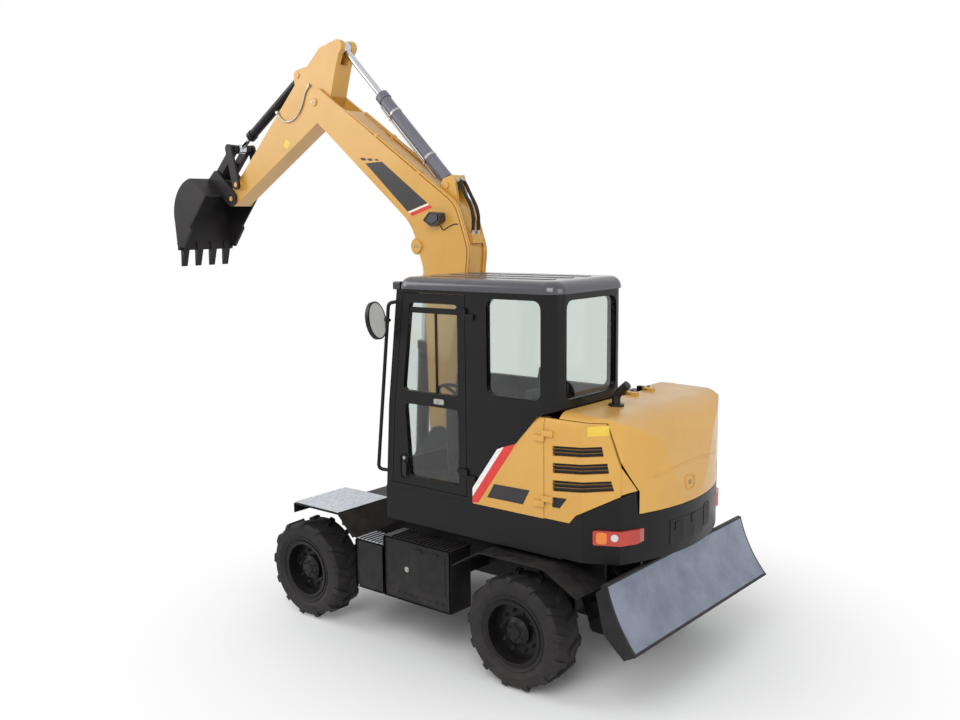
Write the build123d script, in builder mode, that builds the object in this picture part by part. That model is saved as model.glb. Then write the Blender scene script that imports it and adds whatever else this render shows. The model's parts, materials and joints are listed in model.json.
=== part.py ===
"""Compact wheeled excavator: undercarriage, blade, revolving upper structure, cab and working gear.

Millimetres. +X points forward, +Y to the left and +Z up. The origin lies on the ground under the slew axis.
"""

import os
from math import atan2, cos, degrees, hypot, radians, sin

from build123d import *

os.makedirs("parts", exist_ok=True)

# Running gear
tyre_diameter = 830
tyre_width = 305
tread_width = 250
lug_count = 13
lug_depth = 24
lug_root = 60
lug_bar = 46
lug_sweep = 66
lug_crown = 4.5
lug_middle = 6
bead_width = 250
bead_diameter = 444
rim_wall = 8
rim_flange = 18
rim_flange_width = 10
disc_offset = 28
disc_thickness = 14
hub_diameter = 210
hub_inner = 60
hub_outer = 95
spindle_diameter = 111
spindle_depth = 120
track = 1670
front_axle_x = 1550
rear_axle_x = -620
axle_tube_diameter = 130
differential_diameter = 300
brake_diameter = 280
brake_width = 60
kingpin_offset = 195
kingpin_diameter = 48
knuckle_height = 170
knuckle_diameter = 104
yoke_thickness = 42
yoke_width = 96
steering_arm = 240
steering_arm_width = 40
tie_rod_diameter = 34

# Clearances
fit = 0.5
moving = 5

# Undercarriage frame
frame_front = 1760
frame_rear = -790
frame_half_width = 320
frame_bottom = 520
frame_top = 850
frame_plate = 20
frame_web_gap = 520
ring_outer = 400
ring_inner = 320
ring_joint_z = 925
box_front = 959
box_rear = -34
box_inner_y = 705
box_outer_y = 938
box_bottom = 400
box_top = 886
step_top = 800
step_length = 309
box_wall = 5
fender_outer_y = 950
fender_inner_y = 340
fender_plate = 8
front_fender_front = 1690
front_fender_rear = 1149
front_fender_z = 973
rear_fender_top = 944
rear_fender_front = -58
rear_fender_crown_front = -306
rear_fender_crown_rear = -874
rear_fender_rear = -1142
rear_fender_low = 787
lug_hole = 40
lug_width = 90
lug_rise = 80
lug_thickness = 30

# Blade on a parallel linkage
blade_half_width = 990
blade_top_x = -1400
blade_top_z = 960
blade_mid_x = -1472
blade_mid_z = 760
blade_edge_x = -1625
blade_edge_z = 530
blade_plate = 16
blade_end_depth = 110
blade_roll = 40
blade_pivot_x = -880
blade_pivot_z = 330
blade_link_rise = 170
blade_arm_length = 520
blade_arm_up = 40
blade_arm_width = 76
blade_arm_thickness = 40
blade_bracket_y = 260
blade_bracket_thickness = 30
blade_pin = 50
blade_tie = 0.72
blade_eye_at = 0.30
blade_cyl_base_x = -735
blade_cyl_base_z = 775
blade_cyl_length = 380
blade_cyl_bore = 72
blade_rod = 38
blade_piston_at = 70
blade_cyl_slot = 140
blade_cyl_lug = 40
blade_cyl_pin = 40
blade_eye_width = 60

# Upper structure
deck_front = 716
deck_half_width = 822
deck_bottom = 990
deck_top = 1254
deck_floor = 16
deck_wall = 10
web_length = 1000
seam_x = -940
tail_radius = 1500
tail_corner_y = 700
tail_wall = 220
cw_side = 110
cw_bottom = 1000
cw_top = 1330
cw_shoulder = 1490
cover_thickness = 32
cover_gap = 5
cover_top = 1960
side_split = -790
hood_rise = 50
hood_top = cover_top + hood_rise
hood_front = -905
hood_wall = 32
hood_round = 270
hood_drop = 25
hood_rake = 60
shoulder_round = 110
louvre_depth = 22
louvre_slots = 3
louvre_rib = 0.12
hood_seam_top = -1245
hood_seam_low = -1385
engine_length = 500
engine_width = 700
engine_height = 600
engine_x = -1000

right_cover_front = 420
right_cover_front_z = 1640
right_cover_inner_y = -460
exhaust_x = -1060
exhaust_y = 330
exhaust_diameter = 60
flange_rim = 25
flange_depth = 14
bulkhead_x = -735
bulkhead = 10
hinge_radius = 11
hinge_leaf = 10
hinge_reach = 80
hinge_tall = 40
hinge_lift = 13
hinge_pin = 5
door_hinges = (1420, 2600)
engine_door_hinges = (1340, 1800)
hood_hinges = (-400, -160)

# Cab
cab_left = 820
cab_step_x = -745
cab_step_drop = 45
cab_foot_rear = -155
cab_right = -60
cab_wall = 45
cab_floor = deck_top
cab_rear = -890
cab_sill = 2015
cab_eave = 2800
cab_front_low = 712
cab_front_mid = 670
cab_front_high = 560
cab_mid_z = 1900
cab_corner = 120
roof_height = 88
roof_lip = 12
door_rear = -105
door_low = 1290
door_high = 2775
door_front_margin = 62
door_frame = 70
door_rail_z = 1980
door_rail = 100
door_pane_front = 505
door_pane_lean = 50
glass = 6
window_margin = 125
window_corner = 60
left_pane_front = -300
right_pane_front = 470
screen_low = 1440
screen_margin = 75
seat_x = -260
seat_width = 500
seat_depth = 500
seat_height = 420
seat_cushion = 120
seat_back = 150
seat_back_height = 560
console_gap = 12
console_width = 100
console_length = 460
column_x = 360
column_height = 640
steering_wheel = 360
rail_reach = 60
rail_out = 30
rail_low_z = 1380
rail_high_z = 2690
rail_tube = 28
mirror_z = 2560
mirror_height = 290
mirror_width = 190
mirror_depth = 36
mirror_lean = 11
mirror_out = 80
lamp_x = -1290
lamp_z = 1185
lamp_length = 230
lamp_height = 100
lamp_proud = 18
window_low = 2070
window_high = 2755

# Hydraulic cylinders
barrel_neck = 14
gland_share = 0.6
gland_rim = 8
piston_share = 0.5
boom_cyl_length = 1190
boom_cyl_bore = 116
boom_rod = 65
boom_piston_at = 870
boom_cyl_eye = 120
boom_cyl_eye_width = 110
boom_cyl_pin = 60
bracket_boss = 72
pin_cap = 16
arm_cyl_length = 1135
arm_cyl_bore = 108
arm_rod = 60
arm_piston_at = 530
arm_cyl_eye = 110
arm_cyl_eye_width = 84
arm_cyl_pin = 55
bucket_cyl_length = 965
bucket_rod_out = 203
bucket_cyl_lean = 148.05
bucket_cyl_bore = 92
bucket_rod = 52
bucket_piston_at = 220
bucket_cyl_eye = 96
bucket_cyl_eye_width = 84
bucket_cyl_pin = 50
cylinder_wall = 9

# Working gear
gear_y = -270
boom_width = 260
boom_wall = 14
boom_foot_x = 980
boom_foot_z = 1420
boom_foot_radius = 120
boom_reach = 1482
boom_rise = 2978
pin = 70
bracket_plate = 30
arm_width = 200
arm_wall = 12
fork_radius = 405
tip_radius = 112
rod_pocket = 165
eye_pocket = 152
nose_radius = 76
rocker_radius = 50
link_pin = 50
ear_thickness = 25
bucket_width = 700
bucket_plate = 16
pipe = 18
pipe_gap = 4
pipe_bend = 280
pipe_clamp = 36
hose = 30
hose_bend = 120
hose_spread = 35
hose_fitting = 44
lamp_cable = 8
arm_pipe = 18
arm_pipe_bend = 72
tooth_count = 4
tooth_width = 70
tooth_margin = 50
cutter_reach = 45


def side(y):
    """Side view plane at y, with X to the right and Z up, facing -Y."""
    return Plane.XZ.offset(-y)


def axle_z():
    return tyre_diameter / 2


def along(a, b, share):
    return (a[0] + (b[0] - a[0]) * share, a[1] + (b[1] - a[1]) * share)


def wheel_plane(x, hand):
    """Section plane of a wheel: local x points outboard and local y up."""
    return Plane(origin=(x, hand * track / 2, axle_z()), x_dir=(0, hand, 0), z_dir=(hand, 0, 0))


def save(builder, label):
    builder.part.label = label
    export_step(builder.part, f"parts/{label}.step")


def knuckle_leaf(plane, reach, lift):
    """Hinge knuckle on plane's z axis with a leaf along its x and a pad down its y to the panel."""
    with BuildSketch(plane) as leaf:
        Circle(hinge_radius)
        with Locations((reach / 2, 0)):
            Rectangle(abs(reach), hinge_leaf)
        with Locations((0.7 * reach, -lift / 2)):
            Rectangle(0.6 * abs(reach), lift)
    extrude(leaf.sketch, amount=hinge_tall)


def hinge_bore(plane):
    with BuildSketch(plane) as bore:
        Circle(hinge_pin + fit)
    extrude(bore.sketch, amount=hinge_tall, mode=Mode.SUBTRACT)


def hinge_pintle(plane):
    with BuildSketch(plane) as pintle:
        Circle(hinge_pin)
    extrude(pintle.sketch, amount=2 * hinge_tall)


def upright(x, y, z):
    """Plane of an upright hinge at x, y with its lower end at z."""
    return Plane(origin=(x, y, z), x_dir=(1, 0, 0), z_dir=(0, 0, 1))


def lying(x, y, z):
    """Plane of a hinge lying across at x, z with its right end at y."""
    return Plane(origin=(x, y, z), x_dir=(-1, 0, 0), z_dir=(0, 1, 0))


bead_r = bead_diameter / 2
tyre_r = tyre_diameter / 2
spindle_r = spindle_diameter / 2
hub_r = hub_diameter / 2
kingpin_y = track / 2 - kingpin_offset
wheel_places = {
    "front_left": (front_axle_x, 1),
    "front_right": (front_axle_x, -1),
    "rear_left": (rear_axle_x, 1),
    "rear_right": (rear_axle_x, -1),
}

# Wheels: lugged tyre and dished rim with its hub
wheel_section = Plane(origin=(0, 0, 0), x_dir=(0, 1, 0), z_dir=(1, 0, 0))
wheel_axis = Axis((0, 0, 0), (0, 1, 0))


def tyre_outline(tread_r):
    """Half section of the tyre over the wheel's axis, up to tread_r."""
    return [
        (-bead_width / 2, bead_r),
        (bead_width / 2, bead_r),
        (bead_width / 2, bead_r + rim_flange + 6),
        (tyre_width / 2, bead_r + 90),
        (tyre_width / 2 - 4, tread_r - 28),
        (tread_width / 2, tread_r),
        (-tread_width / 2, tread_r),
        (-tyre_width / 2 + 4, tread_r - 28),
        (-tyre_width / 2, bead_r + 90),
        (-bead_width / 2, bead_r + rim_flange + 6),
    ]


with BuildPart() as tread:
    for hand in (1, -1):
        for number in range(lug_count):
            turn = radians(360 * (number + (1 - hand) / 4) / lug_count)
            radial = Vector(sin(turn), 0, cos(turn))
            face = Plane(origin=radial * (tyre_r - lug_crown), x_dir=(0, hand, 0), z_dir=-radial)
            lean = lug_sweep / 2 * hand
            edge = tyre_width / 2 - 2
            with BuildSketch(face):
                with BuildLine():
                    Polyline(
                        (lug_middle, -lean - lug_bar / 2),
                        (edge, lean - lug_bar / 2),
                        (edge, lean + lug_bar / 2),
                        (lug_middle, -lean + lug_bar / 2),
                        close=True,
                    )
                make_face()
            extrude(amount=lug_root)
    with BuildSketch(wheel_section):
        with BuildLine():
            Polyline(*tyre_outline(tyre_r), close=True)
        make_face()
    revolve(axis=wheel_axis, mode=Mode.INTERSECT)
with BuildPart() as lugged_tyre:
    with BuildSketch(wheel_section):
        with BuildLine():
            Polyline(*tyre_outline(tyre_r - lug_depth), close=True)
        make_face()
    revolve(axis=wheel_axis)
    add(tread.part)
for place, (wheel_x, hand) in wheel_places.items():
    section = wheel_plane(wheel_x, hand)
    turning = Axis(section.origin, section.x_dir)
    with BuildPart() as tyre:
        with Locations(section.origin):
            add(lugged_tyre.part if hand > 0 else mirror(lugged_tyre.part, about=Plane.XZ, mode=Mode.PRIVATE))
    save(tyre, f"tyre_{place}")
    with BuildPart() as rim:
        with BuildSketch(section):
            with BuildLine():
                Polyline(
                    (hub_outer, 0),
                    (hub_outer, hub_r - 30),
                    (hub_outer - 18, hub_r),
                    (disc_offset + disc_thickness, hub_r),
                    (disc_offset + disc_thickness, bead_r - rim_wall),
                    (bead_width / 2 + rim_flange_width - 3, bead_r - rim_wall),
                    (bead_width / 2 + rim_flange_width, bead_r + rim_flange),
                    (bead_width / 2, bead_r + rim_flange),
                    (bead_width / 2, bead_r),
                    (-bead_width / 2, bead_r),
                    (-bead_width / 2, bead_r + rim_flange),
                    (-bead_width / 2 - rim_flange_width, bead_r + rim_flange),
                    (-bead_width / 2 - rim_flange_width + 3, bead_r - rim_wall),
                    (disc_offset, bead_r - rim_wall),
                    (disc_offset, hub_r),
                    (-hub_inner, hub_r),
                    (-hub_inner, spindle_r + fit),
                    (spindle_depth - hub_inner, spindle_r + fit),
                    (spindle_depth - hub_inner, 0),
                    close=True,
                )
            make_face()
        revolve(axis=turning)
    save(rim, f"wheel_{place}")

# Steering knuckles with kingpin, spindle, brake housing and steering arm
spindle_end = track / 2 - hub_inner + spindle_depth - 2
brake_y = track / 2 - hub_inner - moving - brake_width
for place, hand in (("left", 1), ("right", -1)):
    pivot = Plane(origin=(front_axle_x, hand * kingpin_y, axle_z()))
    outward = Plane(origin=pivot.origin, x_dir=(1, 0, 0), z_dir=(0, hand, 0))
    with BuildPart() as knuckle:
        with BuildSketch(pivot):
            Circle(knuckle_diameter / 2)
        extrude(amount=knuckle_height / 2 - fit, both=True)
        with BuildSketch(pivot):
            Circle(kingpin_diameter / 2)
        extrude(amount=knuckle_height / 2 + yoke_thickness, both=True)
        with BuildSketch(outward):
            Circle(spindle_r)
        extrude(amount=spindle_end - kingpin_y)
        with BuildSketch(outward.offset(brake_y - kingpin_y)):
            Circle(brake_diameter / 2)
        extrude(amount=brake_width)
        with BuildSketch(pivot):
            with Locations((-steering_arm / 2, 0)):
                SlotCenterToCenter(steering_arm, steering_arm_width)
        extrude(amount=steering_arm_width / 2, both=True)
    save(knuckle, f"knuckle_{place}")

# Tie rod under the steering arms
tie_z = axle_z() - steering_arm_width / 2 - fit
tie_x = front_axle_x - steering_arm
with BuildPart() as tie_rod:
    with BuildSketch(Plane.XY.offset(tie_z)):
        with Locations((tie_x, kingpin_y), (tie_x, -kingpin_y)):
            Circle(steering_arm_width / 2 + 4)
    extrude(amount=-tie_rod_diameter - 6)
    with BuildSketch(Plane.XZ):
        with Locations((tie_x, tie_z - tie_rod_diameter / 2 - 3)):
            Circle(tie_rod_diameter / 2)
    extrude(amount=kingpin_y, both=True)
save(tie_rod, "tie_rod")

# Front axle with differential, oscillation trunnion and kingpin yokes
yoke_inner = kingpin_y - knuckle_diameter / 2 - 28
yoke_outer = kingpin_y + knuckle_diameter / 2
with BuildPart() as front_axle:
    with BuildSketch(Plane.XZ):
        with Locations((front_axle_x, axle_z())):
            Circle(axle_tube_diameter / 2)
    extrude(amount=yoke_inner - 20, both=True)
    with Locations((front_axle_x, 0, axle_z())):
        Sphere(differential_diameter / 2)
    with BuildSketch(Plane.YZ.offset(front_axle_x)):
        with Locations((0, axle_z())):
            Circle(axle_tube_diameter / 2 + 5)
    extrude(amount=differential_diameter / 2 + 60, both=True)
    for hand in (1, -1):
        with BuildSketch(Plane.YZ.offset(front_axle_x)):
            with BuildLine():
                Polyline(
                    (hand * (yoke_inner - 60), axle_z() - axle_tube_diameter / 2),
                    (hand * yoke_inner, axle_z() - knuckle_height / 2 - yoke_thickness),
                    (hand * yoke_outer, axle_z() - knuckle_height / 2 - yoke_thickness),
                    (hand * yoke_outer, axle_z() - knuckle_height / 2),
                    (hand * yoke_inner, axle_z() - knuckle_height / 2),
                    (hand * yoke_inner, axle_z() + knuckle_height / 2),
                    (hand * yoke_outer, axle_z() + knuckle_height / 2),
                    (hand * yoke_outer, axle_z() + knuckle_height / 2 + yoke_thickness),
                    (hand * yoke_inner, axle_z() + knuckle_height / 2 + yoke_thickness),
                    (hand * (yoke_inner - 60), axle_z() + axle_tube_diameter / 2),
                    close=True,
                )
            make_face()
        extrude(amount=yoke_width / 2, both=True)
    with BuildSketch(Plane.XY.offset(axle_z())):
        with Locations((front_axle_x, kingpin_y), (front_axle_x, -kingpin_y)):
            Circle(kingpin_diameter / 2 + fit)
    extrude(amount=knuckle_height, both=True, mode=Mode.SUBTRACT)
save(front_axle, "front_axle")

# Rear axle with differential, pads, brakes and spindles
pad_y = frame_half_width - 60
with BuildPart() as rear_axle:
    with BuildSketch(Plane.XZ):
        with Locations((rear_axle_x, axle_z())):
            Circle(axle_tube_diameter / 2)
    extrude(amount=brake_y + 10, both=True)
    with BuildSketch(Plane.XZ):
        with Locations((rear_axle_x, axle_z())):
            Circle(spindle_r)
    extrude(amount=spindle_end, both=True)
    with Locations((rear_axle_x, 0, axle_z())):
        Sphere(differential_diameter / 2)
    for hand in (1, -1):
        with BuildSketch(Plane(origin=(rear_axle_x, hand * brake_y, axle_z()), x_dir=(1, 0, 0), z_dir=(0, hand, 0))):
            Circle(brake_diameter / 2)
        extrude(amount=brake_width)
    with BuildSketch(Plane.XY.offset(axle_z())):
        with Locations((rear_axle_x, pad_y), (rear_axle_x, -pad_y)):
            Rectangle(180, 90)
    extrude(amount=frame_bottom - axle_z())
save(rear_axle, "rear_axle")

# Undercarriage frame: plated box open below, front pivot plates, blade bracket and slew ring seat
blade_low = (blade_pivot_x, blade_pivot_z)
blade_high = (blade_pivot_x, blade_pivot_z + blade_link_rise)
blade_base = (blade_cyl_base_x, blade_cyl_base_z)
bracket_front = blade_pivot_x + 150
trunnion_r = axle_tube_diameter / 2 + 5
trunnion_plate = differential_diameter / 2 + 20
with BuildPart() as frame:
    with BuildSketch(side(0)):
        with BuildLine():
            Polyline(
                (frame_rear, frame_bottom),
                (frame_front - 120, frame_bottom),
                (frame_front, frame_bottom + 90),
                (frame_front, frame_top),
                (frame_rear, frame_top),
                close=True,
            )
        make_face()
    extrude(amount=frame_half_width, both=True)
    inside = frame_front - 120 - frame_rear - 2 * frame_plate
    bays = max(1, round(inside / frame_web_gap))
    bay = inside / bays
    with BuildSketch(Plane.XY.offset(frame_bottom)):
        with Locations((frame_rear + frame_plate + inside / 2, 0)):
            with GridLocations(bay, 1, bays, 1):
                Rectangle(bay - frame_plate, 2 * (frame_half_width - frame_plate))
    extrude(amount=frame_top - frame_plate - frame_bottom, mode=Mode.SUBTRACT)
    with Locations((front_axle_x, 0, axle_z()), (rear_axle_x, 0, axle_z())):
        Sphere(differential_diameter / 2 + 2 * moving, mode=Mode.SUBTRACT)
    for x in (front_axle_x - trunnion_plate, front_axle_x + trunnion_plate):
        with BuildSketch(Plane.YZ.offset(x)):
            with Locations((0, axle_z())):
                Circle(trunnion_r + 45)
            with Locations((0, (axle_z() + frame_top - frame_plate) / 2)):
                Rectangle(2 * (trunnion_r + 45), frame_top - frame_plate - axle_z())
            with Locations((0, axle_z())):
                Circle(trunnion_r, mode=Mode.SUBTRACT)
        extrude(amount=frame_plate, both=True)
    for hand in (1, -1):
        with BuildSketch(side(hand * blade_bracket_y)):
            with BuildLine():
                Polyline(
                    (bracket_front, frame_bottom + 10),
                    (bracket_front, frame_top - frame_plate),
                    (blade_pivot_x - 62, frame_top - frame_plate),
                    (blade_pivot_x - 62, blade_pivot_z - 62),
                    (blade_pivot_x + 40, blade_pivot_z - 62),
                    close=True,
                )
            make_face()
        extrude(amount=blade_bracket_thickness / 2, both=True)
        reach = blade_bracket_thickness / 2 + blade_arm_thickness
        with BuildSketch(side(hand * blade_bracket_y)):
            with Locations(blade_low, blade_high):
                Circle(blade_pin / 2)
        extrude(amount=reach, both=True)
    with BuildSketch(Plane.XY.offset(frame_top)):
        Circle(ring_outer)
        Circle(ring_inner, mode=Mode.SUBTRACT)
    extrude(amount=ring_joint_z - frame_top - fit)
    with BuildSketch(side(0)):
        with Locations((frame_rear, (frame_bottom + frame_top - frame_plate) / 2)):
            Rectangle(3 * frame_plate, frame_top - frame_plate - frame_bottom)
    extrude(amount=blade_cyl_slot / 2, both=True, mode=Mode.SUBTRACT)
    with BuildSketch(side(0)):
        with Locations(blade_base):
            Circle(blade_cyl_lug)
        with Locations((blade_cyl_base_x, (blade_cyl_base_z + frame_top - frame_plate) / 2)):
            Rectangle(2 * blade_cyl_lug, frame_top - frame_plate - blade_cyl_base_z)
    extrude(amount=blade_eye_width / 2 + fit + 25, both=True)
    with BuildSketch(side(0)):
        with Locations(blade_base):
            Rectangle(4 * blade_cyl_lug, 2 * (frame_top - frame_plate - blade_cyl_base_z))
            Circle(blade_cyl_lug + 5)
    extrude(amount=blade_eye_width / 2 + fit, both=True, mode=Mode.SUBTRACT)
    with BuildSketch(side(0)):
        with Locations(blade_base):
            Circle(blade_cyl_pin / 2)
    extrude(amount=blade_eye_width / 2 + fit + 25, both=True)
save(frame, "chassis_frame")

# Step boxes: open at the back towards the frame, with a lower step in front
with BuildPart() as boxes:
    with BuildSketch(side(box_outer_y)):
        with BuildLine():
            Polyline(
                (box_rear, box_bottom),
                (box_front - 30, box_bottom),
                (box_front, box_bottom + 60),
                (box_front, step_top),
                (box_front - step_length, step_top),
                (box_front - step_length, box_top),
                (box_rear, box_top),
                close=True,
            )
        box_outline = make_face()
    extrude(amount=box_outer_y - box_inner_y)
    with BuildSketch(side(box_outer_y - box_wall)):
        add(box_outline.face().located(Location((0, -box_wall, 0))))
        offset(amount=-box_wall, mode=Mode.REPLACE)
    extrude(amount=box_outer_y - box_inner_y - box_wall, mode=Mode.SUBTRACT)
    for x in (box_rear + 160, box_front - 260):
        with BuildSketch(Plane.XZ.offset(-(box_inner_y + 40))):
            with Locations((x, frame_bottom + 120)):
                Rectangle(50, 90)
        extrude(amount=box_inner_y + 40 - frame_half_width)
        with BuildSketch(Plane.XZ.offset(-(box_outer_y - box_wall))):
            with Locations((x, frame_bottom + 120)):
                Rectangle(20, 90)
        extrude(amount=box_outer_y - box_wall - box_inner_y)
    mirror(about=Plane.XZ)
save(boxes, "step_boxes")

# Front fenders: flat tread plate, slanted plate down to the step, bracket to the frame
with BuildPart() as front_fenders:
    with BuildSketch(side(fender_outer_y)):
        with BuildLine():
            fold = Polyline(
                (front_fender_front, front_fender_z - 90),
                (front_fender_front, front_fender_z - fender_plate),
                (front_fender_rear, front_fender_z - fender_plate),
                (box_front + 24, step_top + 2),
            )
            offset(fold, amount=fender_plate, side=Side.LEFT, closed=True)
        make_face()
    extrude(amount=fender_outer_y - fender_inner_y)
    with BuildSketch(side(fender_inner_y + 30)):
        with BuildLine():
            Polyline(
                (front_axle_x - 180, front_fender_z - fender_plate),
                (front_axle_x + 60, front_fender_z - fender_plate),
                (front_axle_x + 20, frame_top - 60),
                (front_axle_x - 140, frame_top - 60),
                close=True,
            )
        make_face()
    extrude(amount=fender_inner_y + 30 - frame_half_width)
    mirror(about=Plane.XZ)
save(front_fenders, "front_fenders")

# Rear fenders: bent plate over the tyre, carried by a bracket from the frame
with BuildPart() as rear_fenders:
    with BuildSketch(side(fender_outer_y)):
        with BuildLine():
            fold = Polyline(
                (rear_fender_rear, rear_fender_low),
                (rear_fender_crown_rear, rear_fender_top - fender_plate),
                (rear_fender_crown_front, rear_fender_top - fender_plate),
                (rear_fender_front, rear_fender_low),
            )
            offset(fold, amount=fender_plate, side=Side.LEFT, closed=True)
        make_face()
    extrude(amount=fender_outer_y - fender_inner_y - 200)
    with BuildSketch(side(fender_inner_y + 230)):
        with BuildLine():
            Polyline(
                (rear_axle_x - 120, rear_fender_top - fender_plate),
                (rear_axle_x + 120, rear_fender_top - fender_plate),
                (rear_axle_x + 90, tyre_diameter + 40),
                (rear_axle_x - 90, tyre_diameter + 40),
                close=True,
            )
        make_face()
    extrude(amount=30)
    with BuildSketch(side(fender_inner_y + 230)):
        with Locations((rear_axle_x, tyre_diameter + 55)):
            Rectangle(120, 30)
    extrude(amount=fender_inner_y + 230 - ring_outer)
    with BuildSketch(side(ring_outer)):
        with Locations((rear_axle_x, (tyre_diameter + 70 + frame_top - 70) / 2)):
            Rectangle(120, tyre_diameter + 140 - frame_top)
    extrude(amount=ring_outer - frame_half_width)
    mirror(about=Plane.XZ)
save(rear_fenders, "rear_fenders")

# Tie-down lugs, one on each side of the frame's front end
with BuildPart() as lugs:
    for hand in (1, -1):
        lug_y = hand * (frame_half_width - lug_width / 2 - 40)
        with BuildSketch(Plane.XY.offset(frame_bottom + lug_rise)):
            with Locations((frame_front + lug_width / 2, lug_y)):
                Circle(lug_width / 2)
            with Locations((frame_front + lug_width / 4, lug_y)):
                Rectangle(lug_width / 2, lug_width)
            with Locations((frame_front + lug_width / 2, lug_y)):
                Circle(lug_hole / 2, mode=Mode.SUBTRACT)
        extrude(amount=lug_thickness / 2, both=True)
save(lugs, "tie_down_lugs")

# Blade: curved mouldboard with end plates and lugs for the parallel linkage
up = radians(180 - blade_arm_up)
arm_run = (blade_arm_length * cos(up), blade_arm_length * sin(up))
blade_low_eye = (blade_low[0] + arm_run[0], blade_low[1] + arm_run[1])
blade_high_eye = (blade_high[0] + arm_run[0], blade_high[1] + arm_run[1])
blade_top = (blade_top_x, blade_top_z)
blade_mid = (blade_mid_x, blade_mid_z)
blade_edge = (blade_edge_x, blade_edge_z)
with BuildPart() as blade:
    with BuildSketch(side(0)):
        with BuildLine():
            face_curve = ThreePointArc(blade_top, blade_mid, blade_edge)
            offset(face_curve, amount=blade_plate, side=Side.LEFT, closed=True)
        make_face()
    extrude(amount=blade_half_width, both=True)
    with BuildSketch(side(0)):
        with Locations((blade_top_x + blade_roll / 2, blade_top_z - blade_roll / 2)):
            Circle(blade_roll / 2)
    extrude(amount=blade_half_width, both=True)
    for hand in (1, -1):
        with BuildSketch(side(hand * (blade_half_width - blade_plate / 2))):
            with BuildLine():
                ThreePointArc(blade_top, blade_mid, blade_edge)
                Polyline(
                    blade_edge,
                    (blade_edge_x + 90, blade_edge_z - 50),
                    (blade_mid_x + blade_end_depth - 20, blade_mid_z - 140),
                    (blade_top_x + 80, blade_top_z - 70),
                    blade_top,
                )
            make_face()
        extrude(amount=blade_plate / 2, both=True)
        with BuildSketch(side(hand * blade_bracket_y)):
            with Locations(blade_low_eye, blade_high_eye):
                Circle(blade_arm_width / 2)
            make_hull()
            with BuildLine():
                Polyline(
                    (blade_low_eye[0], blade_low_eye[1] - blade_arm_width / 2),
                    (blade_high_eye[0], blade_high_eye[1] + blade_arm_width / 2),
                    (blade_top_x + 5, blade_high_eye[1] + blade_arm_width / 2),
                    (blade_mid_x + 5, blade_mid_z),
                    (blade_mid_x - 20, blade_low_eye[1] - blade_arm_width / 2),
                    close=True,
                )
            make_face()
        extrude(amount=blade_bracket_thickness / 2, both=True)
        with BuildSketch(side(hand * blade_bracket_y)):
            with Locations(blade_low_eye, blade_high_eye):
                Circle(blade_pin / 2)
        extrude(amount=blade_bracket_thickness / 2 + blade_arm_thickness, both=True)
save(blade, "blade")

# Lower blade arms, tied by a cross tube that carries the lift cylinder's eye
arm_y = blade_bracket_y + blade_bracket_thickness / 2 + fit + blade_arm_thickness / 2
tie_at = along(blade_low, blade_low_eye, blade_tie)
eye_at = along(blade_low, blade_low_eye, blade_eye_at)
with BuildPart() as blade_arms:
    for hand in (1, -1):
        with BuildSketch(side(hand * arm_y)):
            with Locations(blade_low, blade_low_eye):
                Circle(blade_arm_width / 2)
            make_hull()
            with Locations(blade_low, blade_low_eye):
                Circle(blade_pin / 2 + fit, mode=Mode.SUBTRACT)
        extrude(amount=blade_arm_thickness / 2, both=True)
        with BuildSketch(side(hand * (blade_eye_width / 2 + moving + 12))):
            with Locations(eye_at, tie_at):
                Circle(blade_cyl_lug - 6)
            make_hull()
        extrude(amount=12, both=True)
    with BuildSketch(side(0)):
        with Locations(tie_at):
            Circle(blade_arm_width / 2 - 6)
    extrude(amount=arm_y, both=True)
save(blade_arms, "blade_arms")

# Upper blade links
link_y = blade_bracket_y - blade_bracket_thickness / 2 - fit - blade_arm_thickness / 2
with BuildPart() as blade_links:
    for hand in (1, -1):
        with BuildSketch(side(hand * link_y)):
            with Locations(blade_high, blade_high_eye):
                Circle(blade_arm_width / 2 - 6)
            make_hull()
            with Locations(blade_high, blade_high_eye):
                Circle(blade_pin / 2 + fit, mode=Mode.SUBTRACT)
        extrude(amount=blade_arm_thickness / 2, both=True)
save(blade_links, "blade_links")


def cylinder_planes(base, eye, y):
    """Plane at the base pin looking along the cylinder towards the rod's eye."""
    run = Vector(eye[0] - base[0], 0, eye[1] - base[1])
    return Plane(origin=(base[0], y, base[1]), x_dir=(0, 1, 0), z_dir=run.normalized()), run.length


def barrel_part(base, eye, y, barrel_length, barrel_d, rod_d, wall, eye_d, eye_width, pin_d):
    """Cylinder barrel with a base eye, a bored tube and a gland that guides the rod."""
    axis_plane, _ = cylinder_planes(base, eye, y)
    start = eye_d / 2 + barrel_neck
    with BuildPart() as barrel:
        with BuildSketch(axis_plane):
            Circle(eye_width / 2 - moving)
        extrude(amount=start + wall)
        with BuildSketch(axis_plane.offset(start)):
            Circle(barrel_d / 2)
        extrude(amount=barrel_length - start)
        with BuildSketch(axis_plane.offset(barrel_length - gland_share * barrel_d)):
            Circle(barrel_d / 2 + gland_rim)
        extrude(amount=gland_share * barrel_d)
        with BuildSketch(side(y)):
            with Locations(base):
                Circle(eye_d / 2)
        extrude(amount=eye_width / 2, both=True)
        with BuildSketch(axis_plane.offset(start + wall)):
            Circle(barrel_d / 2 - wall)
        extrude(amount=barrel_length - start - wall - gland_share * barrel_d, mode=Mode.SUBTRACT)
        with BuildSketch(axis_plane.offset(barrel_length)):
            Circle(rod_d / 2 + fit)
        extrude(amount=-gland_share * barrel_d - wall, mode=Mode.SUBTRACT)
        with BuildSketch(side(y)):
            with Locations(base):
                Circle(pin_d / 2 + fit)
        extrude(amount=eye_width, both=True, mode=Mode.SUBTRACT)
    return barrel


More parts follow.
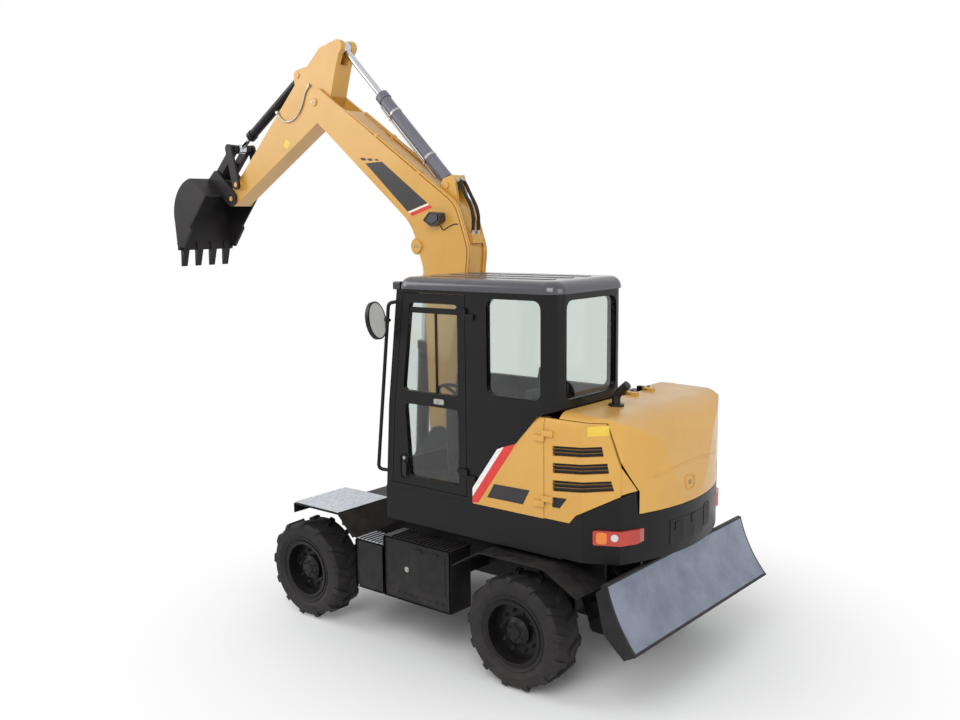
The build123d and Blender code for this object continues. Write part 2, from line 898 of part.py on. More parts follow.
def rod_part(base, eye, y, inside, barrel_d, rod_d, wall, eye_d, eye_width):
    """Piston rod from its piston, which lies `inside` from the base pin, to its eye."""
    axis_plane, length = cylinder_planes(base, eye, y)
    with BuildPart() as rod:
        with BuildSketch(axis_plane.offset(inside)):
            Circle(rod_d / 2)
        extrude(amount=length - inside)
        with BuildSketch(axis_plane.offset(inside)):
            Circle(barrel_d / 2 - wall - fit)
        extrude(amount=piston_share * barrel_d)
        with BuildSketch(side(y)):
            with Locations(eye):
                Circle(eye_d / 2)
        extrude(amount=eye_width / 2, both=True)
    return rod


# Blade lift cylinder
blade_cylinder = (blade_base, eye_at, 0)
barrel = barrel_part(*blade_cylinder, blade_cyl_length, blade_cyl_bore, blade_rod, 8, 2 * 28, blade_eye_width, blade_cyl_pin)
save(barrel, "blade_cylinder_barrel")
rod = rod_part(*blade_cylinder, blade_piston_at, blade_cyl_bore, blade_rod, 8, 2 * 28, blade_eye_width)
save(rod, "blade_cylinder_rod")

# Pins of the working gear in side view
foot = (boom_foot_x, boom_foot_z)
tip = (boom_foot_x + boom_reach, boom_foot_z + boom_rise)
boom_base = (boom_foot_x + 350, boom_foot_z - 355)
boom_eye = (boom_foot_x + 235, boom_foot_z + 1665)
armcyl_base = (boom_foot_x - 60, boom_foot_z + 2175)
armcyl_eye = (tip[0] - 282, tip[1] + 464)
nose = (tip[0] + 1301, tip[1] - 844)
rocker_pivot = (tip[0] + 1178, tip[1] - 708)
rocker_top = (tip[0] + 1274, tip[1] - 348)
bucket_eye = (tip[0] + 1536, tip[1] - 604)
bucketcyl_base = (
    rocker_top[0] + (bucket_cyl_length + bucket_rod_out) * cos(radians(bucket_cyl_lean)),
    rocker_top[1] + (bucket_cyl_length + bucket_rod_out) * sin(radians(bucket_cyl_lean)),
)

# Revolving deck: floor, skirts, boom bracket and the turning half of the slew ring
bracket_y = boom_width / 2 + moving + bracket_plate / 2
hood_hinge_x = hood_front + moving
hood_hinge_z = hood_top + hinge_lift
cover_hinge_x = side_split - cover_gap / 2
cover_hinge_y = deck_half_width + hinge_lift
cab_hinge_x = door_rear - moving - 2
cab_hinge_y = cab_left + hinge_lift
with BuildPart() as deck:
    with BuildSketch(Plane.XY.offset(deck_bottom)):
        with Locations(((deck_front + seam_x) / 2, 0)):
            Rectangle(deck_front - seam_x, 2 * deck_half_width)
    extrude(amount=deck_top - deck_bottom)
    with BuildSketch(Plane.XY.offset(deck_bottom + deck_floor)):
        with Locations(((deck_front + seam_x) / 2 - deck_wall, 0)):
            Rectangle(deck_front - seam_x, 2 * (deck_half_width - deck_wall))
    extrude(amount=deck_top - deck_bottom - deck_floor, mode=Mode.SUBTRACT)
    with BuildSketch(Plane.XY.offset(ring_joint_z)):
        Circle(ring_outer)
        Circle(ring_inner, mode=Mode.SUBTRACT)
    extrude(amount=deck_bottom - ring_joint_z)
    for hand in (1, -1):
        with BuildSketch(side(gear_y + hand * bracket_y)):
            with Locations(foot):
                Circle(boom_foot_radius - 5)
            with Locations(boom_base):
                Circle(bracket_boss)
            with Locations((deck_front - 40, deck_bottom + deck_floor + 40)):
                Circle(40)
            with Locations((deck_front - 380, deck_bottom + deck_floor + 40)):
                Circle(40)
            make_hull()
            with Locations((deck_front - web_length / 2, (deck_bottom + deck_top) / 2)):
                Rectangle(web_length, deck_top - deck_bottom)
        extrude(amount=bracket_plate / 2, both=True)
        with BuildSketch(side(gear_y + hand * (boom_width / 2 + moving))):
            with Locations(foot):
                Circle(boom_foot_radius - 20)
        extrude(amount=hand * (moving - fit))
        with BuildSketch(side(gear_y + hand * (boom_width / 2 + moving))):
            with Locations(boom_base):
                Circle(bracket_boss - 8)
        extrude(amount=hand * (boom_width / 2 + moving - boom_cyl_eye_width / 2 - fit))
    with BuildSketch(side(gear_y)):
        with Locations(foot):
            Circle(pin / 2)
        with Locations(boom_base):
            Circle(boom_cyl_pin / 2)
    extrude(amount=bracket_y + bracket_plate / 2, both=True)
    with BuildSketch(side(cab_right - cover_gap)):
        with BuildLine():
            Polyline(
                (bulkhead_x, deck_bottom),
                (bulkhead_x, hood_top - 2 * bulkhead),
                (hood_hinge_x + 8, hood_top - 2 * bulkhead),
                (hood_hinge_x + 8, hood_top - 3 * bulkhead),
                (bulkhead_x - bulkhead, hood_top - 3 * bulkhead),
                (bulkhead_x - bulkhead, deck_bottom),
                close=True,
            )
        make_face()
    extrude(amount=cab_right - right_cover_inner_y - 2 * cover_gap)
    for hinge_y in hood_hinges:
        hinge_plane = lying(hood_hinge_x, hinge_y, hood_hinge_z)
        knuckle_leaf(hinge_plane, -hinge_reach, hinge_lift + 2 * bulkhead)
        hinge_pintle(hinge_plane)
save(deck, "deck_frame")

# Counterweight: cast band round the tail, raised at its front corners under the side doors
tail_corner_x = -((tail_radius**2 - tail_corner_y**2) ** 0.5)


def tail_outline(inset):
    """Plan outline of the tail behind the seam, moved in by inset."""
    r = tail_radius - inset
    y = tail_corner_y - inset
    x = -((r**2 - y**2) ** 0.5)
    w = deck_half_width - inset
    with BuildLine() as outline:
        Polyline((x, y), (seam_x - 160, w), (seam_x, w), (seam_x, -w), (seam_x - 160, -w), (x, -y))
        ThreePointArc((x, y), (-r, 0), (x, -y))
    return outline.line


with BuildPart() as counterweight:
    with BuildSketch(Plane.XY.offset(cw_bottom)):
        add(tail_outline(0))
        make_face()
    extrude(amount=cw_shoulder - cw_bottom)
    with BuildSketch(Plane.XY.offset(cw_bottom)):
        with Locations(((seam_x - tail_radius + tail_wall) / 2, 0)):
            Rectangle(seam_x + tail_radius - tail_wall, 2 * (deck_half_width - cw_side))
    extrude(amount=cw_shoulder - cw_bottom, mode=Mode.SUBTRACT)
    with BuildSketch(side(0)):
        with BuildLine():
            Polyline(
                (seam_x, deck_top),
                (seam_x - 60, deck_top),
                (seam_x - 110, deck_top + 60),
                (hood_seam_low + 10, cw_shoulder),
                (hood_seam_low, cw_top),
                (-tail_radius, cw_top),
                (-tail_radius, cw_shoulder + 10),
                (seam_x, cw_shoulder + 10),
                close=True,
            )
        make_face()
    extrude(amount=deck_half_width, both=True, mode=Mode.SUBTRACT)
save(counterweight, "counterweight")

# Engine block on the deck's tail
with BuildPart() as engine:
    with BuildSketch(Plane.XY.offset(deck_bottom + deck_floor)):
        with Locations((engine_x, 0)):
            Rectangle(engine_length, engine_width)
    extrude(amount=engine_height)
save(engine, "engine_block")

# Round shoulders that covers, doors and hood share
with BuildPart() as shoulders:
    with BuildSketch(Plane.YZ) as across:
        with Locations((0, (cw_bottom + hood_top) / 2)):
            Rectangle(2 * deck_half_width, hood_top - cw_bottom)
        fillet(across.vertices().group_by(Axis.Z)[-1], shoulder_round)
    extrude(amount=2 * tail_radius, both=True)

# Left covers: fixed front wedge and the louvred engine door behind it
with BuildPart() as front_cover:
    with BuildSketch(side(deck_half_width)):
        with BuildLine():
            Polyline(
                (cab_foot_rear - cover_gap, deck_top),
                (side_split, deck_top),
                (side_split, cover_top),
                (cab_step_x - cover_gap, cover_top),
                (cab_step_x - cover_gap, cab_sill - cab_step_drop),
                close=True,
            )
        make_face()
    extrude(amount=cover_thickness)
    with BuildSketch(side(deck_half_width - cover_thickness)):
        with Locations((side_split + 20, (deck_top + cover_top) / 2)):
            Rectangle(40, cover_top - deck_top)
    extrude(amount=60)
    add(shoulders.part, mode=Mode.INTERSECT)
    for hinge_z in engine_door_hinges:
        hinge_plane = upright(cover_hinge_x, cover_hinge_y, hinge_z)
        knuckle_leaf(hinge_plane, hinge_reach, hinge_lift)
        hinge_pintle(hinge_plane)
save(front_cover, "left_front_cover")

with BuildPart() as engine_door:
    with BuildSketch(Plane.XY.offset(deck_top)):
        with BuildLine():
            door_plan = Polyline(
                (side_split - cover_gap, deck_half_width),
                (seam_x - 160, deck_half_width),
                (tail_corner_x, tail_corner_y),
            )
            offset(door_plan, amount=cover_thickness, side=Side.LEFT, closed=True)
        make_face()
    extrude(amount=cover_top - deck_top)
    with BuildSketch(side(deck_half_width)):
        with BuildLine():
            Polyline(
                (side_split - cover_gap, deck_top + cover_gap),
                (seam_x - 60, deck_top + cover_gap),
                (seam_x - 110, deck_top + 60 + cover_gap),
                (hood_seam_low + 10 + cover_gap, cw_shoulder + cover_gap),
                (hood_seam_top + cover_gap, cover_top),
                (side_split - cover_gap, cover_top),
                close=True,
            )
        make_face()
    extrude(amount=deck_half_width, mode=Mode.INTERSECT)
    add(shoulders.part, mode=Mode.INTERSECT)
louvres = [
    ((-864, 1781), (-1216, 1809), (-1226, 1737), (-867, 1706)),
    ((-864, 1662), (-1247, 1697), (-1259, 1622), (-867, 1585)),
    ((-864, 1542), (-1270, 1578), (-1289, 1504), (-867, 1457)),
]
with BuildPart() as louvre_slots_cut:
    for upper_front, upper_rear, lower_rear, lower_front in louvres:
        for number in range(louvre_slots):
            high = (number + louvre_rib) / louvre_slots
            low = (number + 1 - louvre_rib) / louvre_slots
            with BuildSketch(side(deck_half_width + moving)):
                with BuildLine():
                    Polyline(
                        along(upper_front, lower_front, high),
                        along(upper_rear, lower_rear, high),
                        along(upper_rear, lower_rear, low),
                        along(upper_front, lower_front, low),
                        close=True,
                    )
                make_face()
            extrude(amount=deck_half_width)
    with BuildSketch(Plane.XY.offset(deck_top)):
        with BuildLine():
            band = Polyline(
                (side_split - cover_gap, deck_half_width),
                (seam_x - 160, deck_half_width),
                (tail_corner_x, tail_corner_y),
            )
            offset(band, amount=louvre_depth, side=Side.LEFT, closed=True)
        make_face()
    extrude(amount=cover_top - deck_top, mode=Mode.INTERSECT)
with BuildPart() as louvred_door:
    add(engine_door.part)
    add(louvre_slots_cut.part, mode=Mode.SUBTRACT)
    for hinge_z in engine_door_hinges:
        hinge_plane = upright(cover_hinge_x, cover_hinge_y, hinge_z + hinge_tall + fit)
        knuckle_leaf(hinge_plane, -hinge_reach, hinge_lift)
        hinge_bore(hinge_plane)
save(louvred_door, "engine_door")

# Rear hood: top plate and rounded tail in one shell, hinged along its front edge


def hood_side(inset, front, low):
    """Side view of the hood, moved in by inset, from its front edge to low."""
    rear = -tail_radius + inset
    top = hood_top - inset
    with BuildSketch(side(0)) as view:
        with BuildLine():
            Polyline(
                (front, top),
                (rear + hood_rake, top - hood_drop),
                (rear, low),
                *(() if inset else hood_lower),
                (front, low if inset else cover_top + cover_gap),
                close=True,
            )
        make_face()
        fillet(view.vertices().sort_by_distance((rear + hood_rake, top - hood_drop))[0], hood_round - inset)
    return view.sketch


hood_lower = [
    (hood_seam_low - cover_gap, cw_top + cover_gap),
    (hood_seam_low - cover_gap, cw_shoulder),
    (hood_seam_top - cover_gap, cover_top + cover_gap),
]
hood_face = hood_side(0, hood_front, cw_top + cover_gap)
cavity_face = hood_side(hood_wall, 0, cw_top)
with BuildPart() as hood_cavity:
    with BuildSketch(Plane.XY):
        add(tail_outline(hood_wall))
        make_face()
    extrude(amount=cover_top + cover_gap)
    extrude(cavity_face, amount=deck_half_width, both=True, mode=Mode.INTERSECT)

with BuildPart() as hood:
    with BuildSketch(Plane.XY.offset(cw_top + cover_gap)):
        add(tail_outline(0))
        make_face()
        with Locations(((hood_front + seam_x) / 2, 0)):
            Rectangle(hood_front - seam_x + 2, 2 * deck_half_width)
    extrude(amount=hood_top - cw_top - cover_gap)
    extrude(hood_face, amount=deck_half_width, both=True, mode=Mode.INTERSECT)
    add(shoulders.part, mode=Mode.INTERSECT)
    add(hood_cavity.part, mode=Mode.SUBTRACT)
    for hinge_y in hood_hinges:
        hinge_plane = lying(hood_hinge_x, hinge_y + hinge_tall + fit, hood_hinge_z)
        knuckle_leaf(hinge_plane, hinge_reach, hinge_lift + bulkhead)
        hinge_bore(hinge_plane)
save(hood, "rear_hood")

with BuildPart() as exhaust:
    with BuildSketch(Plane.XY.offset(hood_top - flange_depth)):
        with Locations((exhaust_x, exhaust_y)):
            Circle(exhaust_diameter / 2 + flange_rim)
    extrude(amount=1.5 * flange_depth)
    with BuildLine() as pipe_run:
        FilletPolyline(
            (exhaust_x, exhaust_y, hood_top),
            (exhaust_x, exhaust_y, hood_top + 70),
            (exhaust_x - 90, exhaust_y, hood_top + 150),
            radius=60,
        )
    with BuildSketch(Plane(origin=(exhaust_x, exhaust_y, hood_top), z_dir=(0, 0, 1))):
        Circle(exhaust_diameter / 2)
    sweep(path=pipe_run.line)
    add(hood.part, mode=Mode.SUBTRACT)
save(exhaust, "exhaust_outlet")

# Right cover over the tanks, open below, stepping down towards the boom
right_corners = [
    (hood_front + cover_gap, deck_top),
    (right_cover_front, deck_top),
    (right_cover_front - 40, right_cover_front_z),
    (-445, 1871),
    (-775, hood_top - 15),
    (hood_front + cover_gap, hood_top - 15),
]
right_depth = deck_half_width + right_cover_inner_y
with BuildPart() as right_cover:
    with BuildSketch(side(-deck_half_width)):
        with BuildLine():
            Polyline(*right_corners, close=True)
        make_face()
    extrude(amount=-right_depth)
    with BuildSketch(side(-deck_half_width + cover_thickness)):
        with BuildLine():
            Polyline(*right_corners, close=True)
        make_face()
        offset(amount=-cover_thickness, mode=Mode.REPLACE)
    extrude(amount=-(right_depth - 2 * cover_thickness), mode=Mode.SUBTRACT)
    with BuildSketch(Plane.XY.offset(deck_top)):
        with Locations(((hood_front + cover_gap + right_cover_front) / 2, (right_cover_inner_y - deck_half_width) / 2)):
            Rectangle(
                right_cover_front - hood_front - cover_gap - 2 * cover_thickness,
                right_depth - 2 * cover_thickness,
            )
    extrude(amount=cover_thickness, mode=Mode.SUBTRACT)
save(right_cover, "right_cover")

# Right tail panel, mirror of the engine door but fixed
with BuildPart() as right_panel:
    add(engine_door.part)
    mirror(about=Plane.XZ, mode=Mode.REPLACE)
    with BuildSketch(side(-deck_half_width)):
        with Locations(((hood_front + side_split) / 2, (deck_top + cover_top) / 2)):
            Rectangle(side_split - hood_front, 2 * (cover_top - deck_top))
    extrude(amount=-2 * cover_thickness, mode=Mode.SUBTRACT)
    with BuildSketch(Plane.XY.offset(deck_top)):
        with Locations(((hood_front + seam_x - 60) / 2, cover_thickness / 2 - deck_half_width)):
            Rectangle(hood_front - seam_x, cover_thickness / 2)
    extrude(amount=2 * cover_gap)
save(right_panel, "right_tail_panel")

# Cab shell: side profile with raked front, walls cut for door and windows, closed above by the roof
cab_mid_y = (cab_left + cab_right) / 2
cab_width = cab_left - cab_right
cab_outline = [
    (cab_front_low, cab_floor),
    (cab_front_mid, cab_mid_z),
    (cab_front_high, cab_eave),
    (cab_rear, cab_eave),
    (cab_rear, cab_sill),
    (cab_step_x, cab_sill - cab_step_drop),
    (cab_foot_rear, cab_floor),
]
door_outline = [
    (door_rear, door_low),
    (cab_front_low - door_front_margin, door_low),
    (cab_front_mid - door_front_margin, cab_mid_z),
    (cab_front_high - door_front_margin, door_high),
    (door_rear, door_high),
]
door_foot_panel = [
    (door_pane_front, door_rail_z),
    (door_pane_front - door_pane_lean, door_low),
    (cab_front_low, door_low),
    (cab_front_low, door_rail_z),
]
rear_pane = (cab_mid_y, (window_low + window_high) / 2, cab_width - 2 * window_margin, window_high - window_low)
side_pane_rear = cab_rear + window_margin
left_pane = ((side_pane_rear + left_pane_front) / 2, (window_low + window_high) / 2)
left_pane_size = (left_pane_front - side_pane_rear, window_high - window_low)
right_pane = ((side_pane_rear + right_pane_front) / 2, (window_low + window_high) / 2)
right_pane_size = (right_pane_front - side_pane_rear, window_high - window_low)
with BuildPart() as cab:
    with BuildSketch(side(cab_mid_y)):
        with BuildLine():
            Polyline(*cab_outline, close=True)
        make_face()
    extrude(amount=cab_width / 2, both=True)
    fillet(cab.edges().filter_by(Axis.Z).sort_by(Axis.X)[:2], cab_corner)
    with BuildSketch(side(cab_mid_y)):
        with BuildLine():
            Polyline(*cab_outline, close=True)
        make_face()
        offset(amount=-cab_wall, mode=Mode.REPLACE)
        with Locations(((cab_rear + cab_front_high) / 2, cab_eave - cab_wall)):
            Rectangle(cab_front_high - cab_rear - 2.4 * cab_wall, 2 * cab_wall + 1)
    extrude(amount=cab_width / 2 - cab_wall, both=True, mode=Mode.SUBTRACT)
    with BuildSketch(side(cab_left)):
        with BuildLine():
            Polyline(*door_outline, close=True)
        make_face()
    extrude(amount=cab_wall, mode=Mode.SUBTRACT)
    with BuildSketch(side(cab_left)):
        with Locations(left_pane):
            RectangleRounded(*left_pane_size, window_corner)
    extrude(amount=cab_wall, mode=Mode.SUBTRACT)
    with BuildSketch(side(cab_right)):
        with Locations(right_pane):
            RectangleRounded(*right_pane_size, window_corner)
    extrude(amount=-cab_wall, mode=Mode.SUBTRACT)
    with BuildSketch(Plane.YZ.offset(cab_rear)):
        with Locations(rear_pane[:2]):
            RectangleRounded(*rear_pane[2:], window_corner)
    extrude(amount=cab_wall, mode=Mode.SUBTRACT)
    with BuildSketch(Plane.YZ.offset(cab_front_high - 3 * cab_wall)):
        with Locations((cab_mid_y, (screen_low + window_high) / 2)):
            RectangleRounded(cab_width - 2 * screen_margin, window_high - screen_low, window_corner)
    extrude(amount=8 * cab_wall, mode=Mode.SUBTRACT)
    for hinge_z in door_hinges:
        hinge_plane = upright(cab_hinge_x, cab_hinge_y, hinge_z)
        knuckle_leaf(hinge_plane, -hinge_reach, hinge_lift)
        hinge_pintle(hinge_plane)
save(cab, "cab_shell")

# Glass of the cab, set in the middle of its walls
pane_depth = (cab_wall - glass) / 2
with BuildPart() as cab_glass:
    with BuildSketch(side(cab_left - pane_depth)):
        with Locations(left_pane):
            RectangleRounded(*left_pane_size, window_corner)
    extrude(amount=glass)
    with BuildSketch(side(cab_right + pane_depth)):
        with Locations(right_pane):
            RectangleRounded(*right_pane_size, window_corner)
    extrude(amount=-glass)
    with BuildSketch(Plane.YZ.offset(cab_rear + pane_depth)):
        with Locations(rear_pane[:2]):
            RectangleRounded(*rear_pane[2:], window_corner)
    extrude(amount=glass)
    with BuildSketch(Plane.YZ.offset(cab_front_high - 3 * cab_wall)):
        with Locations((cab_mid_y, (screen_low + window_high) / 2)):
            RectangleRounded(cab_width - 2 * screen_margin, window_high - screen_low, window_corner)
    extrude(amount=8 * cab_wall)
    with BuildSketch(side(cab_mid_y)):
        with BuildLine():
            Polyline(*cab_outline, close=True)
        make_face()
        offset(amount=-pane_depth, mode=Mode.REPLACE)
    extrude(amount=cab_width / 2, both=True, mode=Mode.INTERSECT)
    with BuildSketch(side(cab_mid_y)):
        with BuildLine():
            Polyline(*cab_outline, close=True)
        make_face()
        offset(amount=-pane_depth - glass, mode=Mode.REPLACE)
    extrude(amount=cab_width / 2 - pane_depth - glass, both=True, mode=Mode.SUBTRACT)
save(cab_glass, "cab_glass")

# Cab roof: rounded cap
with BuildPart() as roof:
    with BuildSketch(Plane.XY.offset(cab_eave)):
        with Locations(((cab_rear + cab_front_high) / 2, cab_mid_y)):
            RectangleRounded(cab_front_high - cab_rear + 2 * roof_lip, cab_width + 2 * roof_lip, cab_corner)
    extrude(amount=roof_height)
    fillet(roof.faces().sort_by(Axis.Z)[-1].edges(), roof_height * 0.9)
save(roof, "cab_roof")

# Cab door with its two panes
with BuildPart() as door:
    with BuildSketch(side(cab_left)):
        with BuildLine():
            Polyline(*door_outline, close=True)
        make_face()
        offset(amount=-moving, mode=Mode.REPLACE)
    extrude(amount=cab_wall)
    with BuildSketch(side(cab_left)) as panes:
        with BuildLine():
            Polyline(*door_outline, close=True)
        make_face()
        offset(amount=-moving - door_frame, mode=Mode.REPLACE)
        with Locations(((door_rear + cab_front_low) / 2, door_rail_z)):
            Rectangle(2 * (cab_front_low - door_rear), door_rail, mode=Mode.SUBTRACT)
        with BuildLine():
            Polyline(*door_foot_panel, close=True)
        make_face(mode=Mode.SUBTRACT)
        fillet(panes.vertices(), window_corner / 2)
    extrude(amount=cab_wall, mode=Mode.SUBTRACT)
    for hinge_z in door_hinges:
        hinge_plane = upright(cab_hinge_x, cab_hinge_y, hinge_z + hinge_tall + fit)
        knuckle_leaf(hinge_plane, hinge_reach, hinge_lift)
        hinge_bore(hinge_plane)
save(door, "cab_door")

with BuildPart() as door_glass:
    with BuildSketch(side(cab_left - pane_depth)) as panes:
        with BuildLine():
            Polyline(*door_outline, close=True)
        make_face()
        offset(amount=-moving - door_frame, mode=Mode.REPLACE)
        with Locations(((door_rear + cab_front_low) / 2, door_rail_z)):
            Rectangle(2 * (cab_front_low - door_rear), door_rail, mode=Mode.SUBTRACT)
        with BuildLine():
            Polyline(*door_foot_panel, close=True)
        make_face(mode=Mode.SUBTRACT)
        fillet(panes.vertices(), window_corner / 2)
    extrude(amount=glass)
save(door_glass, "door_glass")

# Seat on its pedestal, and the consoles with levers and the steering column
floor_z = cab_floor + cab_wall
with BuildPart() as seat:
    with BuildSketch(Plane.XY.offset(floor_z)):
        with Locations((seat_x, cab_mid_y)):
            RectangleRounded(seat_depth * 0.6, seat_width * 0.8, 30)
    extrude(amount=seat_height - seat_cushion)
    with BuildSketch(Plane.XY.offset(floor_z + seat_height - seat_cushion)):
        with Locations((seat_x, cab_mid_y)):
            RectangleRounded(seat_depth, seat_width, 60)
    extrude(amount=seat_cushion)
    with BuildSketch(side(cab_mid_y)):
        with BuildLine():
            Polyline(
                (seat_x - seat_depth / 2, floor_z + seat_height - 40),
                (seat_x - seat_depth / 2 + seat_back, floor_z + seat_height - 40),
                (seat_x - seat_depth / 2 + seat_back - 110, floor_z + seat_height + seat_back_height),
                (seat_x - seat_depth / 2 - 90, floor_z + seat_height + seat_back_height),
                close=True,
            )
        make_face()
    extrude(amount=seat_width / 2 - 20, both=True)
    with BuildSketch(side(cab_mid_y)):
        with BuildLine():
            Polyline(*cab_outline, close=True)
        make_face()
        offset(amount=-cab_wall, mode=Mode.REPLACE)
    extrude(amount=cab_width / 2 - cab_wall - fit, both=True, mode=Mode.INTERSECT)
save(seat, "seat")

with BuildPart() as controls:
    for hand in (1, -1):
        with BuildSketch(Plane.XY.offset(floor_z)):
            with Locations((seat_x + 60, cab_mid_y + hand * (seat_width / 2 + console_gap + console_width / 2))):
                RectangleRounded(console_length, console_width, 30)
        extrude(amount=seat_height + 120)
        with BuildSketch(Plane.XY.offset(floor_z + seat_height + 120)):
            with Locations((seat_x + 60 + console_length / 2 - 50, cab_mid_y + hand * (seat_width / 2 + console_gap + console_width / 2))):
                Circle(16)
        extrude(amount=160)
    with BuildSketch(Plane.XY.offset(floor_z)):
        with Locations((column_x, cab_mid_y)):
            RectangleRounded(110, 150, 30)
    extrude(amount=column_height)
    with Locations(Location((column_x - 30, cab_mid_y, floor_z + column_height), (0, -25, 0))):
        Torus(steering_wheel / 2 - 14, 14)
        Cylinder(22, 60)
        Box(steering_wheel - 28, 26, 14)
    with BuildSketch(side(cab_mid_y)):
        with BuildLine():
            Polyline(*cab_outline, close=True)
        make_face()
        offset(amount=-cab_wall, mode=Mode.REPLACE)
    extrude(amount=cab_width / 2 - cab_wall - fit, both=True, mode=Mode.INTERSECT)
save(controls, "cab_controls")

# Grab rail beside the screen with the mirror on its arm
rail_low = (cab_front_low + rail_reach, cab_left + rail_out, rail_low_z)
rail_high = (cab_front_high + rail_reach, cab_left + rail_out, rail_high_z)
with BuildPart() as grab_rail:
    with BuildLine() as rail_run:
        FilletPolyline(
            (cab_front_low - 30, cab_left - 20, rail_low_z - 10),
            rail_low,
            rail_high,
            (cab_front_high + 10, cab_left - 20, rail_high_z + 10),
            radius=35,
        )
    with BuildSketch(Plane(origin=rail_run.line @ 0, z_dir=rail_run.line % 0)):
        Circle(rail_tube / 2)
    sweep(path=rail_run.line)
    mirror_plane = Plane(
        origin=(cab_front_high + rail_reach + 60, cab_left + rail_out + mirror_out, mirror_z),
        x_dir=(0, 1, 0),
        z_dir=(cos(radians(mirror_lean)), 0, -sin(radians(mirror_lean))),
    )
    with BuildSketch(mirror_plane):
        Ellipse(mirror_width / 2, mirror_height / 2)
    extrude(amount=mirror_depth / 2, both=True)
    with BuildSketch(side(cab_left + rail_out + mirror_out)):
        with Locations((cab_front_high + rail_reach + 55, mirror_z)):
            Circle(12)
    extrude(amount=mirror_out + 10)
    with BuildSketch(Plane.YZ.offset(cab_front_high + rail_reach - 10)):
        with Locations((cab_left + rail_out, mirror_z)):
            Circle(12)
    extrude(amount=75)
    with BuildSketch(side(cab_mid_y)):
        with BuildLine():
            Polyline(*cab_outline, close=True)
        make_face()
    extrude(amount=cab_width / 2, both=True, mode=Mode.SUBTRACT)
save(grab_rail, "grab_rail_mirror")

# Lamps: tail lamps on the counterweight and work lamps on the roof's front edge
with BuildPart() as tail_lamps:
    with BuildSketch(Plane.XY.offset(cw_bottom)):
        add(tail_outline(-lamp_proud))
        make_face()
    extrude(amount=cw_top - cw_bottom)
    with BuildSketch(side(0)):
        with Locations((lamp_x, lamp_z)):
            RectangleRounded(lamp_length, lamp_height, 12)
    extrude(amount=deck_half_width, both=True, mode=Mode.INTERSECT)
    with BuildSketch(Plane.XY.offset(cw_bottom)):
        add(tail_outline(0))
        make_face()
    extrude(amount=cw_top - cw_bottom, mode=Mode.SUBTRACT)
save(tail_lamps, "tail_lamps")

with BuildPart() as roof_lamps:
    for hand in (1, -1):
        with BuildSketch(Plane.YZ.offset(cab_front_high + roof_lip)):
            with Locations((cab_mid_y + hand * (cab_width / 2 - 90), cab_eave + roof_height * 0.2)):
                RectangleRounded(90, 60, 12)
        extrude(amount=70)
save(roof_lamps, "roof_lamps")


def from_foot(dx, dz):
    return (foot[0] + dx, foot[1] + dz)


def from_tip(dx, dz):
    return (tip[0] + dx, tip[1] + dz)


def from_nose(dx, dz):
    return (nose[0] + dx, nose[1] + dz)


# Boom: hollow box with a knee, forked tip, rod pocket in its belly and lugs for the arm cylinder
belly = from_foot(160, 1450)
knee_front = from_foot(292, 1850)
knee_rear_low = from_foot(-318, 1640)
knee_rear_high = from_foot(-190, 2010)
boom_corners = [
    from_foot(boom_foot_radius, 0),
    belly,
    knee_front,
    from_tip(60, -110),
    from_tip(-60, 118),
    knee_rear_high,
    knee_rear_low,
    from_foot(-boom_foot_radius, 0),
]
pocket_half_width = boom_cyl_bore / 2 + gland_rim + moving


def pocket_block(wall, half_width):
    """Solid of the pocket in the boom's belly that the boom cylinder swings into, grown by wall."""
    with BuildPart() as pocket:
        with BuildSketch(side(gear_y)) as outline:
            with Locations(boom_eye):
                Circle(rod_pocket + wall)
            with Locations(from_foot(215, 1330)):
                Circle(0.6 * rod_pocket + wall)
            with Locations(from_foot(205, 1000)):
                Circle(0.5 * rod_pocket + wall)
            make_hull()
        extrude(outline.sketch, amount=half_width, both=True)
    return pocket.part


pocket_cut = pocket_block(0, pocket_half_width)
pocket_lining = pocket_block(boom_wall, boom_width)
port_block = (armcyl_base[0] - 65, armcyl_base[1] + 62)
hose_route = [
    from_foot(-304, 1755),
    from_foot(-322, 1868),
    from_foot(-300, 1985),
    from_foot(-228, 2095),
    (port_block[0] - 50, port_block[1] - 42),
    (port_block[0] - 12, port_block[1] - 10),
]
boom_rounds = ((knee_front, 420), (knee_rear_low, 260), (knee_rear_high, 260))
with BuildPart() as boom_hollow:
    with BuildSketch(side(gear_y)) as hollow:
        with BuildLine():
            Polyline(*boom_corners, close=True)
        make_face()
        for corner, radius in boom_rounds:
            fillet(hollow.vertices().sort_by_distance(corner)[0], radius)
        offset(amount=-boom_wall, mode=Mode.REPLACE)
        with Locations(foot):
            Circle(boom_foot_radius + 60, mode=Mode.SUBTRACT)
        with Locations(tip):
            Circle(fork_radius + boom_wall, mode=Mode.SUBTRACT)
    extrude(amount=boom_width / 2 - boom_wall, both=True)
    add(pocket_lining, mode=Mode.SUBTRACT)
